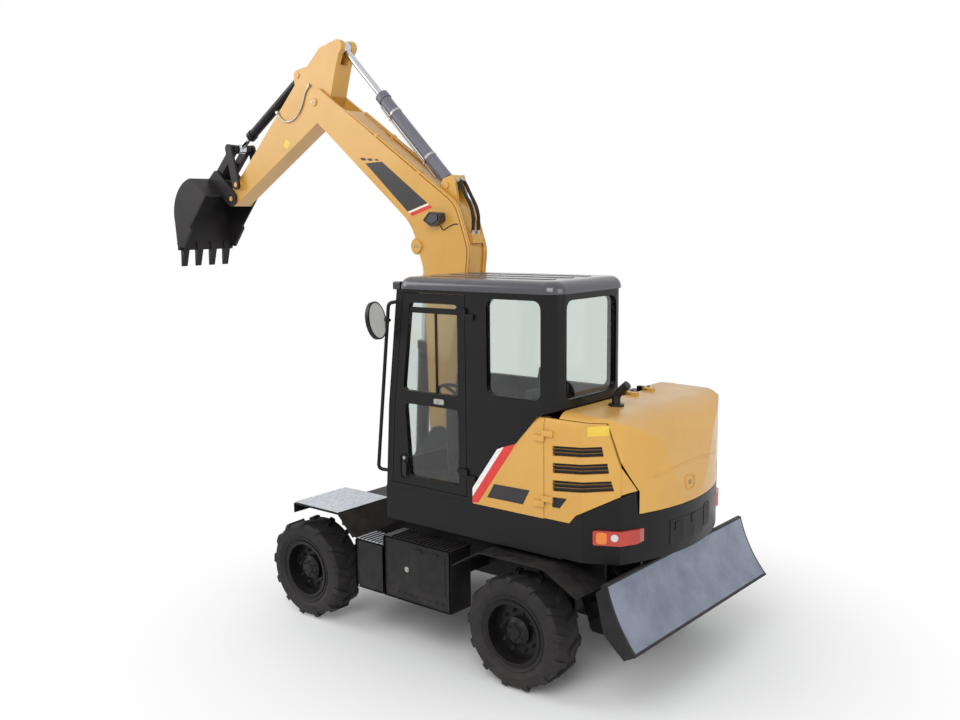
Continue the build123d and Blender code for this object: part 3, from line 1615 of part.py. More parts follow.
with BuildPart() as boom:
    with BuildSketch(side(gear_y)) as outline:
        with BuildLine():
            Polyline(*boom_corners, close=True)
        make_face()
        for corner, radius in boom_rounds:
            fillet(outline.vertices().sort_by_distance(corner)[0], radius)
        with Locations(foot):
            Circle(boom_foot_radius)
        with Locations(tip):
            Circle(tip_radius)
        with Locations(boom_eye):
            Circle(bracket_boss)
    extrude(amount=boom_width / 2, both=True)
    with BuildSketch(side(gear_y)):
        with Locations(boom_eye):
            Circle(bracket_boss - boom_wall)
    extrude(amount=boom_width / 2 + pin_cap, both=True)
    add(boom_hollow.part, mode=Mode.SUBTRACT)
    with BuildSketch(side(gear_y)):
        with Locations(tip):
            Circle(fork_radius)
    extrude(amount=arm_width / 2 + moving, both=True, mode=Mode.SUBTRACT)
    add(pocket_cut, mode=Mode.SUBTRACT)
    for hand in (1, -1):
        with BuildSketch(side(gear_y + hand * pocket_half_width)):
            with Locations(boom_eye):
                Circle(bracket_boss)
        extrude(amount=hand * (pocket_half_width - boom_cyl_eye_width / 2 - moving))
    with BuildSketch(side(gear_y)):
        with Locations(foot):
            Circle(pin / 2 + fit)
    extrude(amount=boom_width, both=True, mode=Mode.SUBTRACT)
    with BuildSketch(side(gear_y)):
        with Locations(tip):
            Circle(pin / 2)
    extrude(amount=boom_width / 2 + 12, both=True)
    lug_y = arm_cyl_eye_width / 2 + moving + ear_thickness / 2
    for hand in (1, -1):
        with BuildSketch(side(gear_y + hand * lug_y)):
            with Locations(armcyl_base):
                Circle(arm_cyl_eye / 2 + 8)
            with Locations(from_foot(-170, 1990), from_foot(60, 2060), port_block):
                Circle(20)
            make_hull()
        extrude(amount=ear_thickness / 2, both=True)
        with BuildSketch(side(gear_y + hand * (arm_cyl_eye_width / 2 + moving))):
            with Locations(armcyl_base):
                Circle(arm_cyl_eye / 2)
        extrude(amount=hand * (moving - fit))
    with BuildSketch(side(gear_y)):
        with Locations(armcyl_base):
            Circle(arm_cyl_pin / 2)
    extrude(amount=lug_y + ear_thickness / 2 + 10, both=True)
    with BuildSketch(side(gear_y)):
        with Locations(port_block):
            Circle(18)
    extrude(amount=lug_y, both=True)
    with BuildSketch(side(gear_y)):
        with BuildLine():
            Polyline(
                from_foot(-290, 1690),
                from_foot(-338, 1690),
                from_foot(-330, 1762),
                from_foot(-255, 1780),
                close=True,
            )
        make_face()
    extrude(amount=hose_spread + hose, both=True)
    for hand in (1, -1):
        with BuildLine() as hose_path:
            FilletPolyline(*[(x, gear_y + hand * hose_spread, z) for x, z in hose_route], radius=hose_bend)
        first = hose_path.line @ 0
        with BuildSketch(Plane(origin=first, z_dir=hose_path.line % 0)) as hose_cross:
            Circle(hose / 2)
        sweep(hose_cross.sketch, path=hose_path.line, mode=Mode.SUBTRACT)
save(boom, "boom")

# Boom hoses: from the fitting block on the boom's back to the port block behind the arm cylinder
with BuildPart() as boom_hoses:
    for hand in (1, -1):
        with BuildLine() as hose_path:
            FilletPolyline(*[(x, gear_y + hand * hose_spread, z) for x, z in hose_route], radius=hose_bend)
        first = hose_path.line @ 0
        with BuildSketch(Plane(origin=first, z_dir=hose_path.line % 0)):
            Circle(hose / 2)
        sweep(path=hose_path.line)
save(boom_hoses, "boom_hoses")


def beside(points, gap):
    """Open run of points in side view, moved to its left by gap."""
    normals = []
    for a, b in zip(points, points[1:]):
        run = Vector(b[0] - a[0], b[1] - a[1]).normalized()
        normals.append(Vector(-run.Y, run.X))
    moved = []
    for number, point in enumerate(points):
        before = normals[max(number - 1, 0)]
        after = normals[min(number, len(normals) - 1)]
        shift = (before + after) * (gap / (1 + before.dot(after)))
        moved.append((point[0] + shift.X, point[1] + shift.Y))
    return moved


# Boom pipes: an outer and an inner pipe on each side of the boom's back, held by clamps
back_low = along(from_foot(-boom_foot_radius, 0), knee_rear_low, 0.25)
back_high = from_tip(-60, 118)
back_run = [back_low, knee_rear_low, knee_rear_high, back_high]
outer_y = boom_width / 2 - pipe / 2 - 3
inner_y = outer_y - pipe - 5
with BuildPart() as boom_pipes:
    for hand in (1, -1):
        for pipe_y, reach in ((outer_y, 0.78), (inner_y, 0.60)):
            run = [back_low, knee_rear_low, knee_rear_high, along(knee_rear_high, back_high, reach)]
            line = [(x, gear_y + hand * pipe_y, z) for x, z in beside(run, pipe / 2 + pipe_gap)]
            with BuildLine() as pipe_path:
                FilletPolyline(*line, radius=pipe_bend)
            with BuildSketch(Plane(origin=pipe_path.line @ 0, z_dir=pipe_path.line % 0)):
                Circle(pipe / 2)
            sweep(path=pipe_path.line)
        for start, end, share in (
            (back_low, knee_rear_low, 0.10),
            (back_low, knee_rear_low, 0.55),
            (knee_rear_high, back_high, 0.25),
            (knee_rear_high, back_high, 0.56),
        ):
            x, z = along(start, end, share)
            run = Vector(end[0] - start[0], 0, end[1] - start[1]).normalized()
            seat_plane = Plane(
                origin=(x, gear_y + hand * (outer_y + inner_y) / 2, z), x_dir=run, z_dir=(-run.Z, 0, run.X)
            )
            with BuildSketch(seat_plane):
                Rectangle(pipe_clamp, outer_y - inner_y + pipe + 4)
            extrude(amount=pipe + pipe_gap + 4)
save(boom_pipes, "boom_pipes")

# Lamp cable along the boom's left side
with BuildPart() as cable:
    cable_y = gear_y + boom_width / 2 + lamp_cable / 2
    with BuildLine() as cable_path:
        FilletPolyline(
            *[
                (*from_foot(x, 0)[:1], cable_y, from_foot(0, z)[1])
                for x, z in ((-40, 1835), (-60, 1788), (-120, 1825), (-190, 1852), (-228, 1848))
            ],
            radius=2 * lamp_cable,
        )
    with BuildSketch(Plane(origin=cable_path.line @ 0, z_dir=cable_path.line % 0)):
        Circle(lamp_cable / 2)
    sweep(path=cable_path.line)
save(cable, "lamp_cable")

with BuildPart() as boom_lamp:
    with BuildSketch(side(gear_y + boom_width / 2)) as lamp_face:
        with BuildLine():
            Polyline(
                from_foot(95, 1885),
                from_foot(20, 1955),
                from_foot(-88, 1945),
                from_foot(-95, 1875),
                from_foot(0, 1830),
                close=True,
            )
        make_face()
        fillet(lamp_face.vertices(), 14)
    extrude(amount=-80)
save(boom_lamp, "boom_lamp")

# Boom cylinder
boom_cylinder = (boom_base, boom_eye, gear_y)
barrel = barrel_part(*boom_cylinder, boom_cyl_length, boom_cyl_bore, boom_rod, cylinder_wall, boom_cyl_eye, boom_cyl_eye_width, boom_cyl_pin)
save(barrel, "boom_cylinder_barrel")
rod = rod_part(*boom_cylinder, boom_piston_at, boom_cyl_bore, boom_rod, cylinder_wall, boom_cyl_eye, boom_cyl_eye_width)
save(rod, "boom_cylinder_rod")

# Arm: hollow box with head lugs for the arm cylinder, bucket cylinder lugs and a narrow nose
arm_corners = [
    from_tip(-60, -150),
    from_nose(-40, -62),
    from_nose(60, 55),
    from_tip(1127, -599),
    from_tip(272, 203),
    from_tip(-60, 480),
    from_tip(-220, 515),
    from_tip(-330, 440),
    from_tip(-265, 290),
    from_tip(-190, 40),
]
rocker_inner = arm_width / 2 + ear_thickness + 2 * moving
with BuildPart() as arm:
    with BuildSketch(side(gear_y)):
        with BuildLine():
            Polyline(*arm_corners, close=True)
        make_face()
        with Locations(nose):
            Circle(nose_radius)
        with Locations(armcyl_eye):
            Circle(arm_cyl_eye / 2 + 10)
        with Locations(tip):
            Circle(tip_radius)
    extrude(amount=arm_width / 2, both=True)
    with BuildSketch(side(gear_y)):
        with BuildLine():
            Polyline(*arm_corners, close=True)
        make_face()
        offset(amount=-arm_wall, mode=Mode.REPLACE)
        with Locations(nose):
            Circle(nose_radius + 230, mode=Mode.SUBTRACT)
        with Locations(armcyl_eye):
            Circle(eye_pocket + arm_wall, mode=Mode.SUBTRACT)
        with Locations(tip):
            Circle(tip_radius, mode=Mode.SUBTRACT)
    extrude(amount=arm_width / 2 - arm_wall, both=True, mode=Mode.SUBTRACT)
    with BuildSketch(side(gear_y)):
        with Locations(armcyl_eye):
            Circle(eye_pocket)
    extrude(amount=arm_cyl_eye_width / 2 + moving, both=True, mode=Mode.SUBTRACT)
    with BuildSketch(side(gear_y)):
        with Locations(tip):
            Circle(tip_radius)
    extrude(amount=arm_width / 2 + moving - fit, both=True)
    with BuildSketch(side(gear_y)):
        with Locations(tip):
            Circle(pin / 2 + fit)
    extrude(amount=arm_width, both=True, mode=Mode.SUBTRACT)
    with BuildSketch(side(gear_y)):
        with Locations(nose):
            Circle(nose_radius)
    extrude(amount=arm_width / 2 + moving - fit, both=True)
    with BuildSketch(side(gear_y)):
        with Locations(rocker_pivot):
            Circle(rocker_radius)
    extrude(amount=rocker_inner - fit, both=True)
    with BuildSketch(side(gear_y)):
        with Locations(nose):
            Circle(link_pin / 2)
    extrude(amount=arm_width / 2 + moving + ear_thickness, both=True)
    with BuildSketch(side(gear_y)):
        with Locations(rocker_pivot):
            Circle(link_pin / 2)
    extrude(amount=rocker_inner + ear_thickness, both=True)
    bucket_lug_y = bucket_cyl_eye_width / 2 + moving + ear_thickness / 2
    for hand in (1, -1):
        with BuildSketch(side(gear_y + hand * bucket_lug_y)):
            with Locations(bucketcyl_base):
                Circle(bucket_cyl_eye / 2 + 6)
            with Locations(from_tip(60, 330), from_tip(300, 130)):
                Circle(20)
            make_hull()
        extrude(amount=ear_thickness / 2, both=True)
        with BuildSketch(side(gear_y + hand * (bucket_cyl_eye_width / 2 + moving))):
            with Locations(bucketcyl_base):
                Circle(bucket_cyl_eye / 2)
        extrude(amount=hand * (moving - fit))
    with BuildSketch(side(gear_y)):
        with Locations(bucketcyl_base):
            Circle(bucket_cyl_pin / 2)
    extrude(amount=bucket_lug_y + ear_thickness / 2 + 10, both=True)
save(arm, "arm")

# Pipe along the arm's left side to the bucket cylinder
with BuildPart() as pipe_on_arm:
    arm_pipe_y = gear_y + arm_width / 2 + arm_pipe / 2
    with BuildLine() as arm_path:
        FilletPolyline(
            *[
                (tip[0] + x, arm_pipe_y, tip[1] + z)
                for x, z in ((75, 165), (135, 110), (188, -6), (291, -124), (417, -154), (500, -105), (560, -40))
            ],
            radius=arm_pipe_bend,
        )
    with BuildSketch(Plane(origin=arm_path.line @ 0, z_dir=arm_path.line % 0)):
        Circle(arm_pipe / 2)
    sweep(path=arm_path.line)
    for x, z in ((75, 165), (188, -6), (417, -154), (560, -40)):
        with BuildSketch(side(gear_y + arm_width / 2)):
            with Locations(from_tip(x, z)):
                RectangleRounded(34, 34, 5)
        extrude(amount=-arm_pipe - 3)
save(pipe_on_arm, "arm_pipe")

# Arm cylinder and bucket cylinder
arm_cylinder = (armcyl_base, armcyl_eye, gear_y)
barrel = barrel_part(*arm_cylinder, arm_cyl_length, arm_cyl_bore, arm_rod, cylinder_wall, arm_cyl_eye, arm_cyl_eye_width, arm_cyl_pin)
save(barrel, "arm_cylinder_barrel")
rod = rod_part(*arm_cylinder, arm_piston_at, arm_cyl_bore, arm_rod, cylinder_wall, arm_cyl_eye, arm_cyl_eye_width)
save(rod, "arm_cylinder_rod")
bucket_cylinder = (bucketcyl_base, rocker_top, gear_y)
barrel = barrel_part(
    *bucket_cylinder, bucket_cyl_length, bucket_cyl_bore, bucket_rod, cylinder_wall, bucket_cyl_eye, bucket_cyl_eye_width, bucket_cyl_pin
)
save(barrel, "bucket_cylinder_barrel")
rod = rod_part(*bucket_cylinder, bucket_piston_at, bucket_cyl_bore, bucket_rod, cylinder_wall, bucket_cyl_eye, bucket_cyl_eye_width)
save(rod, "bucket_cylinder_rod")

# Rocker levers outside the arm, with stub pins inwards for the bucket link
ear_y = arm_width / 2 + moving + ear_thickness / 2
link_plate = (arm_width / 2 + moving - fit) - (bucket_cyl_eye_width / 2 + 3 * moving)
with BuildPart() as rockers:
    for hand in (1, -1):
        with BuildSketch(side(gear_y + hand * (rocker_inner + ear_thickness / 2))):
            with Locations(rocker_pivot):
                Circle(rocker_radius)
            with Locations(rocker_top):
                Circle(rocker_radius - 4)
            make_hull()
            with Locations(rocker_pivot):
                Circle(link_pin / 2 + fit, mode=Mode.SUBTRACT)
        extrude(amount=ear_thickness / 2, both=True)
        with BuildSketch(side(gear_y + hand * rocker_inner)):
            with Locations(rocker_top):
                Circle(link_pin / 2)
        extrude(amount=hand * (ear_thickness + moving + link_plate + fit))
save(rockers, "rocker_levers")

# Bucket link: two plates joined by a web near the bucket end
plate_y = arm_width / 2 + moving - fit - link_plate / 2
web_at = along(rocker_top, bucket_eye, 0.62)
with BuildPart() as link:
    for hand in (1, -1):
        with BuildSketch(side(gear_y + hand * plate_y)):
            with Locations(rocker_top, bucket_eye):
                Circle(rocker_radius - 8)
            make_hull()
            with Locations(rocker_top):
                Circle(link_pin / 2 + fit, mode=Mode.SUBTRACT)
        extrude(amount=link_plate / 2, both=True)
    with BuildSketch(side(gear_y)):
        with Locations(web_at, bucket_eye):
            Circle(rocker_radius - 12)
        make_hull()
    extrude(amount=plate_y, both=True)
save(link, "bucket_link")

# Bucket: rolled shell, side plates, ears and teeth
bucket_mouth = from_nose(130, 40)
bucket_top = from_nose(377, 215)
bucket_back = from_nose(610, 75)
bucket_heel = from_nose(677, -212)
bucket_lip = from_nose(645, -520)
tooth_root = along(bucket_heel, bucket_lip, 0.72)
tooth_pitch = (bucket_width - tooth_width - 2 * tooth_margin) / (tooth_count - 1)


def off_mouth(share, out):
    """Point on the line from the bucket's mouth to its lip, moved out of the bucket by out."""
    x, z = along(bucket_mouth, bucket_lip, share)
    dx, dz = bucket_lip[0] - bucket_mouth[0], bucket_lip[1] - bucket_mouth[1]
    length = (dx**2 + dz**2) ** 0.5
    return (x + dz / length * out, z - dx / length * out)


with BuildPart() as bucket:
    with BuildSketch(side(gear_y)):
        with BuildLine():
            Polyline(bucket_mouth, bucket_top)
            ThreePointArc(bucket_top, bucket_back, bucket_heel)
            Line(bucket_heel, bucket_lip)
            offset(amount=bucket_plate, side=Side.RIGHT, closed=True)
        make_face()
    extrude(amount=bucket_width / 2, both=True)
    for hand in (1, -1):
        with BuildSketch(side(gear_y + hand * bucket_width / 2)):
            with BuildLine():
                Polyline(bucket_mouth, bucket_top)
                ThreePointArc(bucket_top, bucket_back, bucket_heel)
                Polyline(bucket_heel, bucket_lip, bucket_mouth)
            make_face()
        extrude(amount=hand * bucket_plate)
        with BuildSketch(side(gear_y + hand * bucket_width / 2)):
            with BuildLine():
                Polyline(
                    off_mouth(0.5, -60),
                    off_mouth(0.58, cutter_reach * 0.7),
                    off_mouth(0.9, cutter_reach),
                    off_mouth(0.95, -60),
                    close=True,
                )
            make_face()
        extrude(amount=hand * 2 * bucket_plate)
        with BuildSketch(side(gear_y + hand * ear_y)):
            with Locations(nose):
                Circle(nose_radius)
            with Locations(bucket_eye):
                Circle(rocker_radius)
            with Locations(along(bucket_mouth, bucket_top, 0.3), along(bucket_mouth, bucket_top, 0.9)):
                Circle(10)
            make_hull()
            with Locations(nose):
                Circle(link_pin / 2 + fit, mode=Mode.SUBTRACT)
        extrude(amount=ear_thickness / 2, both=True)
    for i in range(tooth_count):
        y = gear_y + tooth_pitch * (i - (tooth_count - 1) / 2)
        with BuildSketch(side(y)):
            with BuildLine():
                Polyline(
                    tooth_root,
                    (tooth_root[0] - bucket_plate - 18, tooth_root[1]),
                    (bucket_lip[0] - bucket_plate - 18, bucket_lip[1]),
                    from_nose(660, -688),
                    from_nose(672, -688),
                    (bucket_lip[0] + 22, bucket_lip[1]),
                    close=True,
                )
            make_face()
        extrude(amount=tooth_width / 2, both=True)
save(bucket, "bucket")
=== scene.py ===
"""Dress of a compact wheeled excavator: finishes, small fittings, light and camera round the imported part."""

from __future__ import annotations

import json
import logging
import math
from dataclasses import dataclass, replace
from enum import Enum
from typing import Any, Sequence

import bmesh
import bpy
from mathutils import Matrix, Vector
from mathutils.bvhtree import BVHTree

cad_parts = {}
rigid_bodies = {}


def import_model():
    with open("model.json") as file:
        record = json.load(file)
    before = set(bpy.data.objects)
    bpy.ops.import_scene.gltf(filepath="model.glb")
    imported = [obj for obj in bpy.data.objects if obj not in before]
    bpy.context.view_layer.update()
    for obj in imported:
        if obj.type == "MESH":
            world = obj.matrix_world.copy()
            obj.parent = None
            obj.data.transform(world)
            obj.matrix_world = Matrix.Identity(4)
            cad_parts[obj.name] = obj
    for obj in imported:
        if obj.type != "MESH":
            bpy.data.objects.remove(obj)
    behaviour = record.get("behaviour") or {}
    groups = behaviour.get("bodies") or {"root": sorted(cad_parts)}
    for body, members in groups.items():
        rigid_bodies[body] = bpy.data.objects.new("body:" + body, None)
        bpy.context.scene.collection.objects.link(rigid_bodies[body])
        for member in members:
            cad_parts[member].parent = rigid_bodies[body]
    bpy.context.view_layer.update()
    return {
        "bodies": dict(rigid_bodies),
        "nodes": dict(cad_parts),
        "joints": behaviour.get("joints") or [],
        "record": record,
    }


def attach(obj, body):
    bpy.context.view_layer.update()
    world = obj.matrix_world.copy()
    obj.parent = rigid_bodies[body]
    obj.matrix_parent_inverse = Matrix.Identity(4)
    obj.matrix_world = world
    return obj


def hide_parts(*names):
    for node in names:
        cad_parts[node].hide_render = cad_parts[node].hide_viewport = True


LOG = logging.getLogger("excavator")
MM = 0.001
# Vertices nearer than this are one
WELD = 1e-5
AHEAD, ACROSS, UP = Vector((1, 0, 0)), Vector((0, 1, 0)), Vector((0, 0, 1))
# Working gear: its middle plane and the half widths of boom and arm
GEAR_Y = -0.27
BOOM_HALF = 0.13
ARM_HALF = 0.10
# Pin at the boom's tip, in the side view
TIP_PIN = (2.462, 4.398)
# Engine door's outer face seen from above: straight to the bend, then drawn in to the corner
FLANK_BEND = (-1.10, 0.822)
FLANK_CORNER = (-1.32665, 0.70)
FLANK_OUT = Vector((-0.474, 0.880, 0))
# Radius of the round tail about the slew axis, and a place well behind it
TAIL_RADIUS = 1.5
BEHIND = -4.0
# Mix node sockets by number, because its float and colour sockets share their names
SHARE, FLOAT_A, FLOAT_B, COLOUR_A, COLOUR_B = 0, 2, 3, 6, 7
FLOAT_OUT, COLOUR_OUT = 0, 2

Point = tuple[float, float]
Place = tuple[float, float, float]
Outline = Sequence[Point]
Shape = bmesh.types.BMesh
Thing = bpy.types.Object
Tree = bpy.types.NodeTree
Socket = bpy.types.NodeSocket


class Side(Enum):
    """Left or right side of the machine, as the sign of Y."""

    LEFT = 1
    RIGHT = -1

    @property
    def tag(self) -> str:
        """The side's word in the name of a piece."""
        return self.name.lower()


def linear(code: str) -> tuple[float, float, float, float]:
    """Linear colour of an sRGB hex value.

    Args:
        code: Six hex digits with a leading hash.

    Returns:
        Red, green, blue and alpha.
    """
    parts = [int(code[i : i + 2], 16) / 255 for i in (1, 3, 5)]
    red, green, blue = ((c / 12.92) if c <= 0.04045 else ((c + 0.055) / 1.055) ** 2.4 for c in parts)
    return (red, green, blue, 1.0)


def add_node(
    tree: Tree,
    kind: str,
    props: dict[str, Any] | None = None,
    values: dict[Any, Any] | None = None,
    links: dict[Any, Socket] | None = None,
) -> bpy.types.Node:
    """Adds one node with its settings and links.

    Args:
        tree: Node tree of the material or world.
        kind: Node type name.
        props: Attributes of the node.
        values: Default values by input.
        links: Sockets to link by input.

    Returns:
        The new node.
    """
    node = tree.nodes.new(kind)
    for key, value in (props or {}).items():
        setattr(node, key, value)
    for key, value in (values or {}).items():
        node.inputs[key].default_value = value
    for key, socket in (links or {}).items():
        tree.links.new(socket, node.inputs[key])
    return node


def per_metre(size_mm: float) -> float:
    """Texture scale for a pattern of that size in millimetres."""
    return 1.0 / (size_mm * MM)


def new_tree(name: str) -> tuple[bpy.types.Material, Tree, Socket]:
    """A material with an empty tree.

    Args:
        name: Name of the material.

    Returns:
        The material, its tree and the output's surface socket.
    """
    material = bpy.data.materials.new(name)
    material.use_nodes = True
    tree = material.node_tree
    tree.nodes.clear()
    output = add_node(tree, "ShaderNodeOutputMaterial")
    return material, tree, output.inputs["Surface"]


def pattern(
    tree: Tree, place: Socket, size_mm: float, texture: Point, span: Point, reach: Point = (0.0, 1.0)
) -> Socket:
    """Cloudy pattern of a real size, spread between two values.

    Args:
        tree: Tree to add to.
        place: Object coordinates.
        size_mm: Size of its clouds in millimetres.
        texture: Detail and roughness of the noise.
        span: Part of the noise that is used.
        reach: Values at both ends of that part.

    Returns:
        The spread pattern.
    """
    detail, rough = texture
    noise = add_node(
        tree, "ShaderNodeTexNoise", links={"Vector": place},
        values={"Scale": per_metre(size_mm), "Detail": detail, "Roughness": rough},
    ).outputs["Fac"]
    return add_node(
        tree, "ShaderNodeMapRange", links={"Value": noise},
        values={"From Min": span[0], "From Max": span[1], "To Min": reach[0], "To Max": reach[1]},
    ).outputs["Result"]


@dataclass(frozen=True)
class Coating:
    """Painted, cast or moulded surface with clouded colour, fine grain, chips and dust that settles."""

    name: str
    colour: str
    shade: str
    cloud_mm: float = 500.0
    grain_mm: float = 4.0
    grain_depth_mm: float = 2.0
    bump: float = 0.04
    smooth: float = 0.30
    rough: float = 0.45
    metallic: float = 0.0
    coat: float = 0.0
    coat_rough: float = 0.12
    sheen: float = 0.5
    dust: str = "#8a8072"
    dust_low: float = 0.0
    dust_top: float = 0.0
    dust_height_mm: float = 1100.0
    dust_patch_mm: float = 160.0
    dust_rough: float = 0.85
    chips: float = 0.0
    chip_mm: float = 28.0
    chip_colour: str = "#3b3a38"

    def material(self) -> bpy.types.Material:
        """Builds the node material.

        Returns:
            The material, reading Object coordinates.
        """
        material, tree, surface = new_tree(self.name)
        place = add_node(tree, "ShaderNodeTexCoord").outputs["Object"]
        tone = pattern(tree, place, self.cloud_mm, (6.0, 0.6), (0.35, 0.65))
        colour = add_node(
            tree, "ShaderNodeMix", {"data_type": "RGBA"}, links={SHARE: tone},
            values={COLOUR_A: linear(self.colour), COLOUR_B: linear(self.shade)},
        ).outputs[COLOUR_OUT]
        roughness = pattern(tree, place, self.cloud_mm, (6.0, 0.6), (0.3, 0.7), (self.smooth, self.rough))
        if self.chips:
            colour = self.chipped(tree, place, colour)
        if self.dust_low or self.dust_top:
            colour, roughness = self.dusted(tree, place, colour, roughness)
        grain = add_node(
            tree, "ShaderNodeTexNoise", links={"Vector": place},
            values={"Scale": per_metre(self.grain_mm), "Detail": 3.0},
        ).outputs["Fac"]
        bump = add_node(
            tree, "ShaderNodeBump", links={"Height": grain},
            values={"Strength": self.bump, "Distance": self.grain_depth_mm * MM},
        ).outputs["Normal"]
        shader = add_node(
            tree, "ShaderNodeBsdfPrincipled",
            values={
                "Metallic": self.metallic,
                "Coat Weight": self.coat,
                "Coat Roughness": self.coat_rough,
                "Specular IOR Level": self.sheen,
            },
            links={"Base Color": colour, "Roughness": roughness, "Normal": bump},
        )
        tree.links.new(shader.outputs["BSDF"], surface)
        return material

    def chipped(self, tree: Tree, place: Socket, colour: Socket) -> Socket:
        """Small chips and scratches where stones have struck.

        Args:
            tree: Tree to add to.
            place: Object coordinates.
            colour: Colour so far.

        Returns:
            The colour with chips.
        """
        wear = 0.12 * self.chips
        mask = pattern(tree, place, self.chip_mm, (8.0, 0.72), (0.70 - wear, 0.74 - wear))
        return add_node(
            tree, "ShaderNodeMix", {"data_type": "RGBA"}, links={SHARE: mask, COLOUR_A: colour},
            values={COLOUR_B: linear(self.chip_colour)},
        ).outputs[COLOUR_OUT]

    def dusted(self, tree: Tree, place: Socket, colour: Socket, roughness: Socket) -> tuple[Socket, Socket]:
        """Dust that lies on top faces and clings near the ground.

        Args:
            tree: Tree to add to.
            place: Object coordinates.
            colour: Colour so far.
            roughness: Roughness so far.

        Returns:
            Colour and roughness with dust.
        """
        height = add_node(tree, "ShaderNodeSeparateXYZ", links={"Vector": place}).outputs["Z"]
        low = add_node(
            tree, "ShaderNodeMapRange", links={"Value": height},
            values={"From Min": self.dust_height_mm * MM, "From Max": 0.0, "To Max": self.dust_low},
        ).outputs["Result"]
        facing = add_node(tree, "ShaderNodeNewGeometry").outputs["Normal"]
        upward = add_node(tree, "ShaderNodeSeparateXYZ", links={"Vector": facing}).outputs["Z"]
        top = add_node(
            tree, "ShaderNodeMapRange", links={"Value": upward},
            values={"From Min": 0.3, "From Max": 1.0, "To Max": self.dust_top},
        ).outputs["Result"]
        both = add_node(tree, "ShaderNodeMath", {"operation": "ADD"}, links={0: low, 1: top}).outputs[0]
        patch = pattern(tree, place, self.dust_patch_mm, (8.0, 0.65), (0.30, 0.72))
        amount = add_node(
            tree, "ShaderNodeMath", {"operation": "MULTIPLY", "use_clamp": True}, links={0: both, 1: patch}
        ).outputs[0]
        mixed = add_node(
            tree, "ShaderNodeMix", {"data_type": "RGBA"}, links={SHARE: amount, COLOUR_A: colour},
            values={COLOUR_B: linear(self.dust)},
        ).outputs[COLOUR_OUT]
        dull = add_node(
            tree, "ShaderNodeMix", links={SHARE: amount, FLOAT_A: roughness},
            values={FLOAT_B: self.dust_rough},
        ).outputs[FLOAT_OUT]
        return mixed, dull


@dataclass(frozen=True)
class Glazing:
    """Float glass with a faint tint, see-through and shiny."""

    name: str
    tint: str
    roughness: float = 0.02
    smear: float = 0.06
    smear_mm: float = 220.0
    ior: float = 1.45

    def material(self) -> bpy.types.Material:
        """Builds the glass material.

        Returns:
            The material, reading Object coordinates.
        """
        material, tree, surface = new_tree(self.name)
        place = add_node(tree, "ShaderNodeTexCoord").outputs["Object"]
        rough = self.roughness + self.smear
        wiped = pattern(tree, place, self.smear_mm, (6.0, 0.5), (0.4, 0.8), (self.roughness, rough))
        shader = add_node(
            tree, "ShaderNodeBsdfPrincipled", links={"Roughness": wiped},
            values={"Base Color": linear(self.tint), "Transmission Weight": 1.0, "IOR": self.ior},
        )
        tree.links.new(shader.outputs["BSDF"], surface)
        return material


Finish = Coating | Glazing
# Share of the usual reflection that dusty black surfaces keep
DULL = 0.22

# Two-coat sand-yellow enamel, sprayed: satin gloss with soft orange peel, a little dust on top
YELLOW = Coating("sprayed_sand_yellow_enamel", "#d8a54e", "#d19d47", smooth=0.26, rough=0.40, coat=0.25,
                 dust="#c9b48c", dust_top=0.20, chips=0.05, chip_colour="#8a6d38")
# Black enamel on cab and skirts: satin, faint dust low down
BLACK = Coating("satin_black_enamel", "#100e0f", "#151314", sheen=DULL, smooth=0.24, rough=0.38,
                dust="#5d5854", dust_low=0.06, dust_top=0.15, dust_height_mm=1300)
# Black powder coat on chassis, blade back and blade linkage: dull, dusty and slightly chipped
CHASSIS = Coating("black_powder_coat", "#131113", "#1a181a", grain_mm=2.5, bump=0.08, sheen=DULL,
                  smooth=0.36, rough=0.55, dust="#6f6a66", dust_low=0.28, dust_top=0.22, chips=0.15,
                  chip_colour="#45423f")
# Cast counterweight, painted black: slightly rough skin
CASTING = Coating("painted_iron_casting", "#100e0f", "#161415", grain_mm=9.0, bump=0.10, sheen=DULL,
                  smooth=0.30, rough=0.44, dust="#5d5854", dust_low=0.05, dust_top=0.15)
# Moulded tyre rubber: dull black, grey dust low down
RUBBER = Coating("moulded_tyre_rubber", "#1f1d1f", "#282628", cloud_mm=180, grain_mm=3.0, bump=0.15,
                 sheen=DULL, smooth=0.55, rough=0.78, dust="#6a655f", dust_low=0.30, dust_top=0.08,
                 dust_height_mm=900)
# Rolled steel of the blade's hollow face, rubbed bright by soil: blue-grey with a soft shine; the blue-grey
# base colour is taken from a lit spot, so it also holds a painted highlight of the sky
BLADE = Coating("rubbed_rolled_steel", "#868e9f", "#717888", cloud_mm=260, grain_mm=3.0, bump=0.06,
                smooth=0.24, rough=0.42, metallic=0.6, dust="#7d7871", dust_low=0.05, dust_top=0.1,
                chips=0.12, chip_colour="#4a4e56")
# Digging steel of the bucket and its levers: black paint, worn at the edge
BUCKET = Coating("worn_bucket_paint", "#252325", "#302d2d", cloud_mm=140, bump=0.12, sheen=DULL,
                 smooth=0.32, rough=0.55, metallic=0.2, dust="#5d5650", dust_top=0.2, chips=0.3,
                 chip_colour="#4b433b")
# Grey enamel of the arm cylinder's barrel, smooth
BARREL_GREY = Coating("grey_cylinder_enamel", "#6b6a76", "#5f5e69", smooth=0.22, rough=0.36, coat=0.2,
                      dust_top=0.1)
# Hard chrome on piston rods: mirror bright with faint oil streaks
CHROME = Coating("hard_chrome", "#c9cccf", "#bfc2c6", cloud_mm=60, grain_mm=1.5, bump=0.01, smooth=0.06,
                 rough=0.16, metallic=1.0)
# Zinc-plated steel of bolts, fittings and clamps: pale and slightly dull
ZINC = Coating("zinc_plated_steel", "#b9b7b0", "#a5a39c", cloud_mm=20, grain_mm=1.5, bump=0.05, smooth=0.25,
               rough=0.4, metallic=0.9)
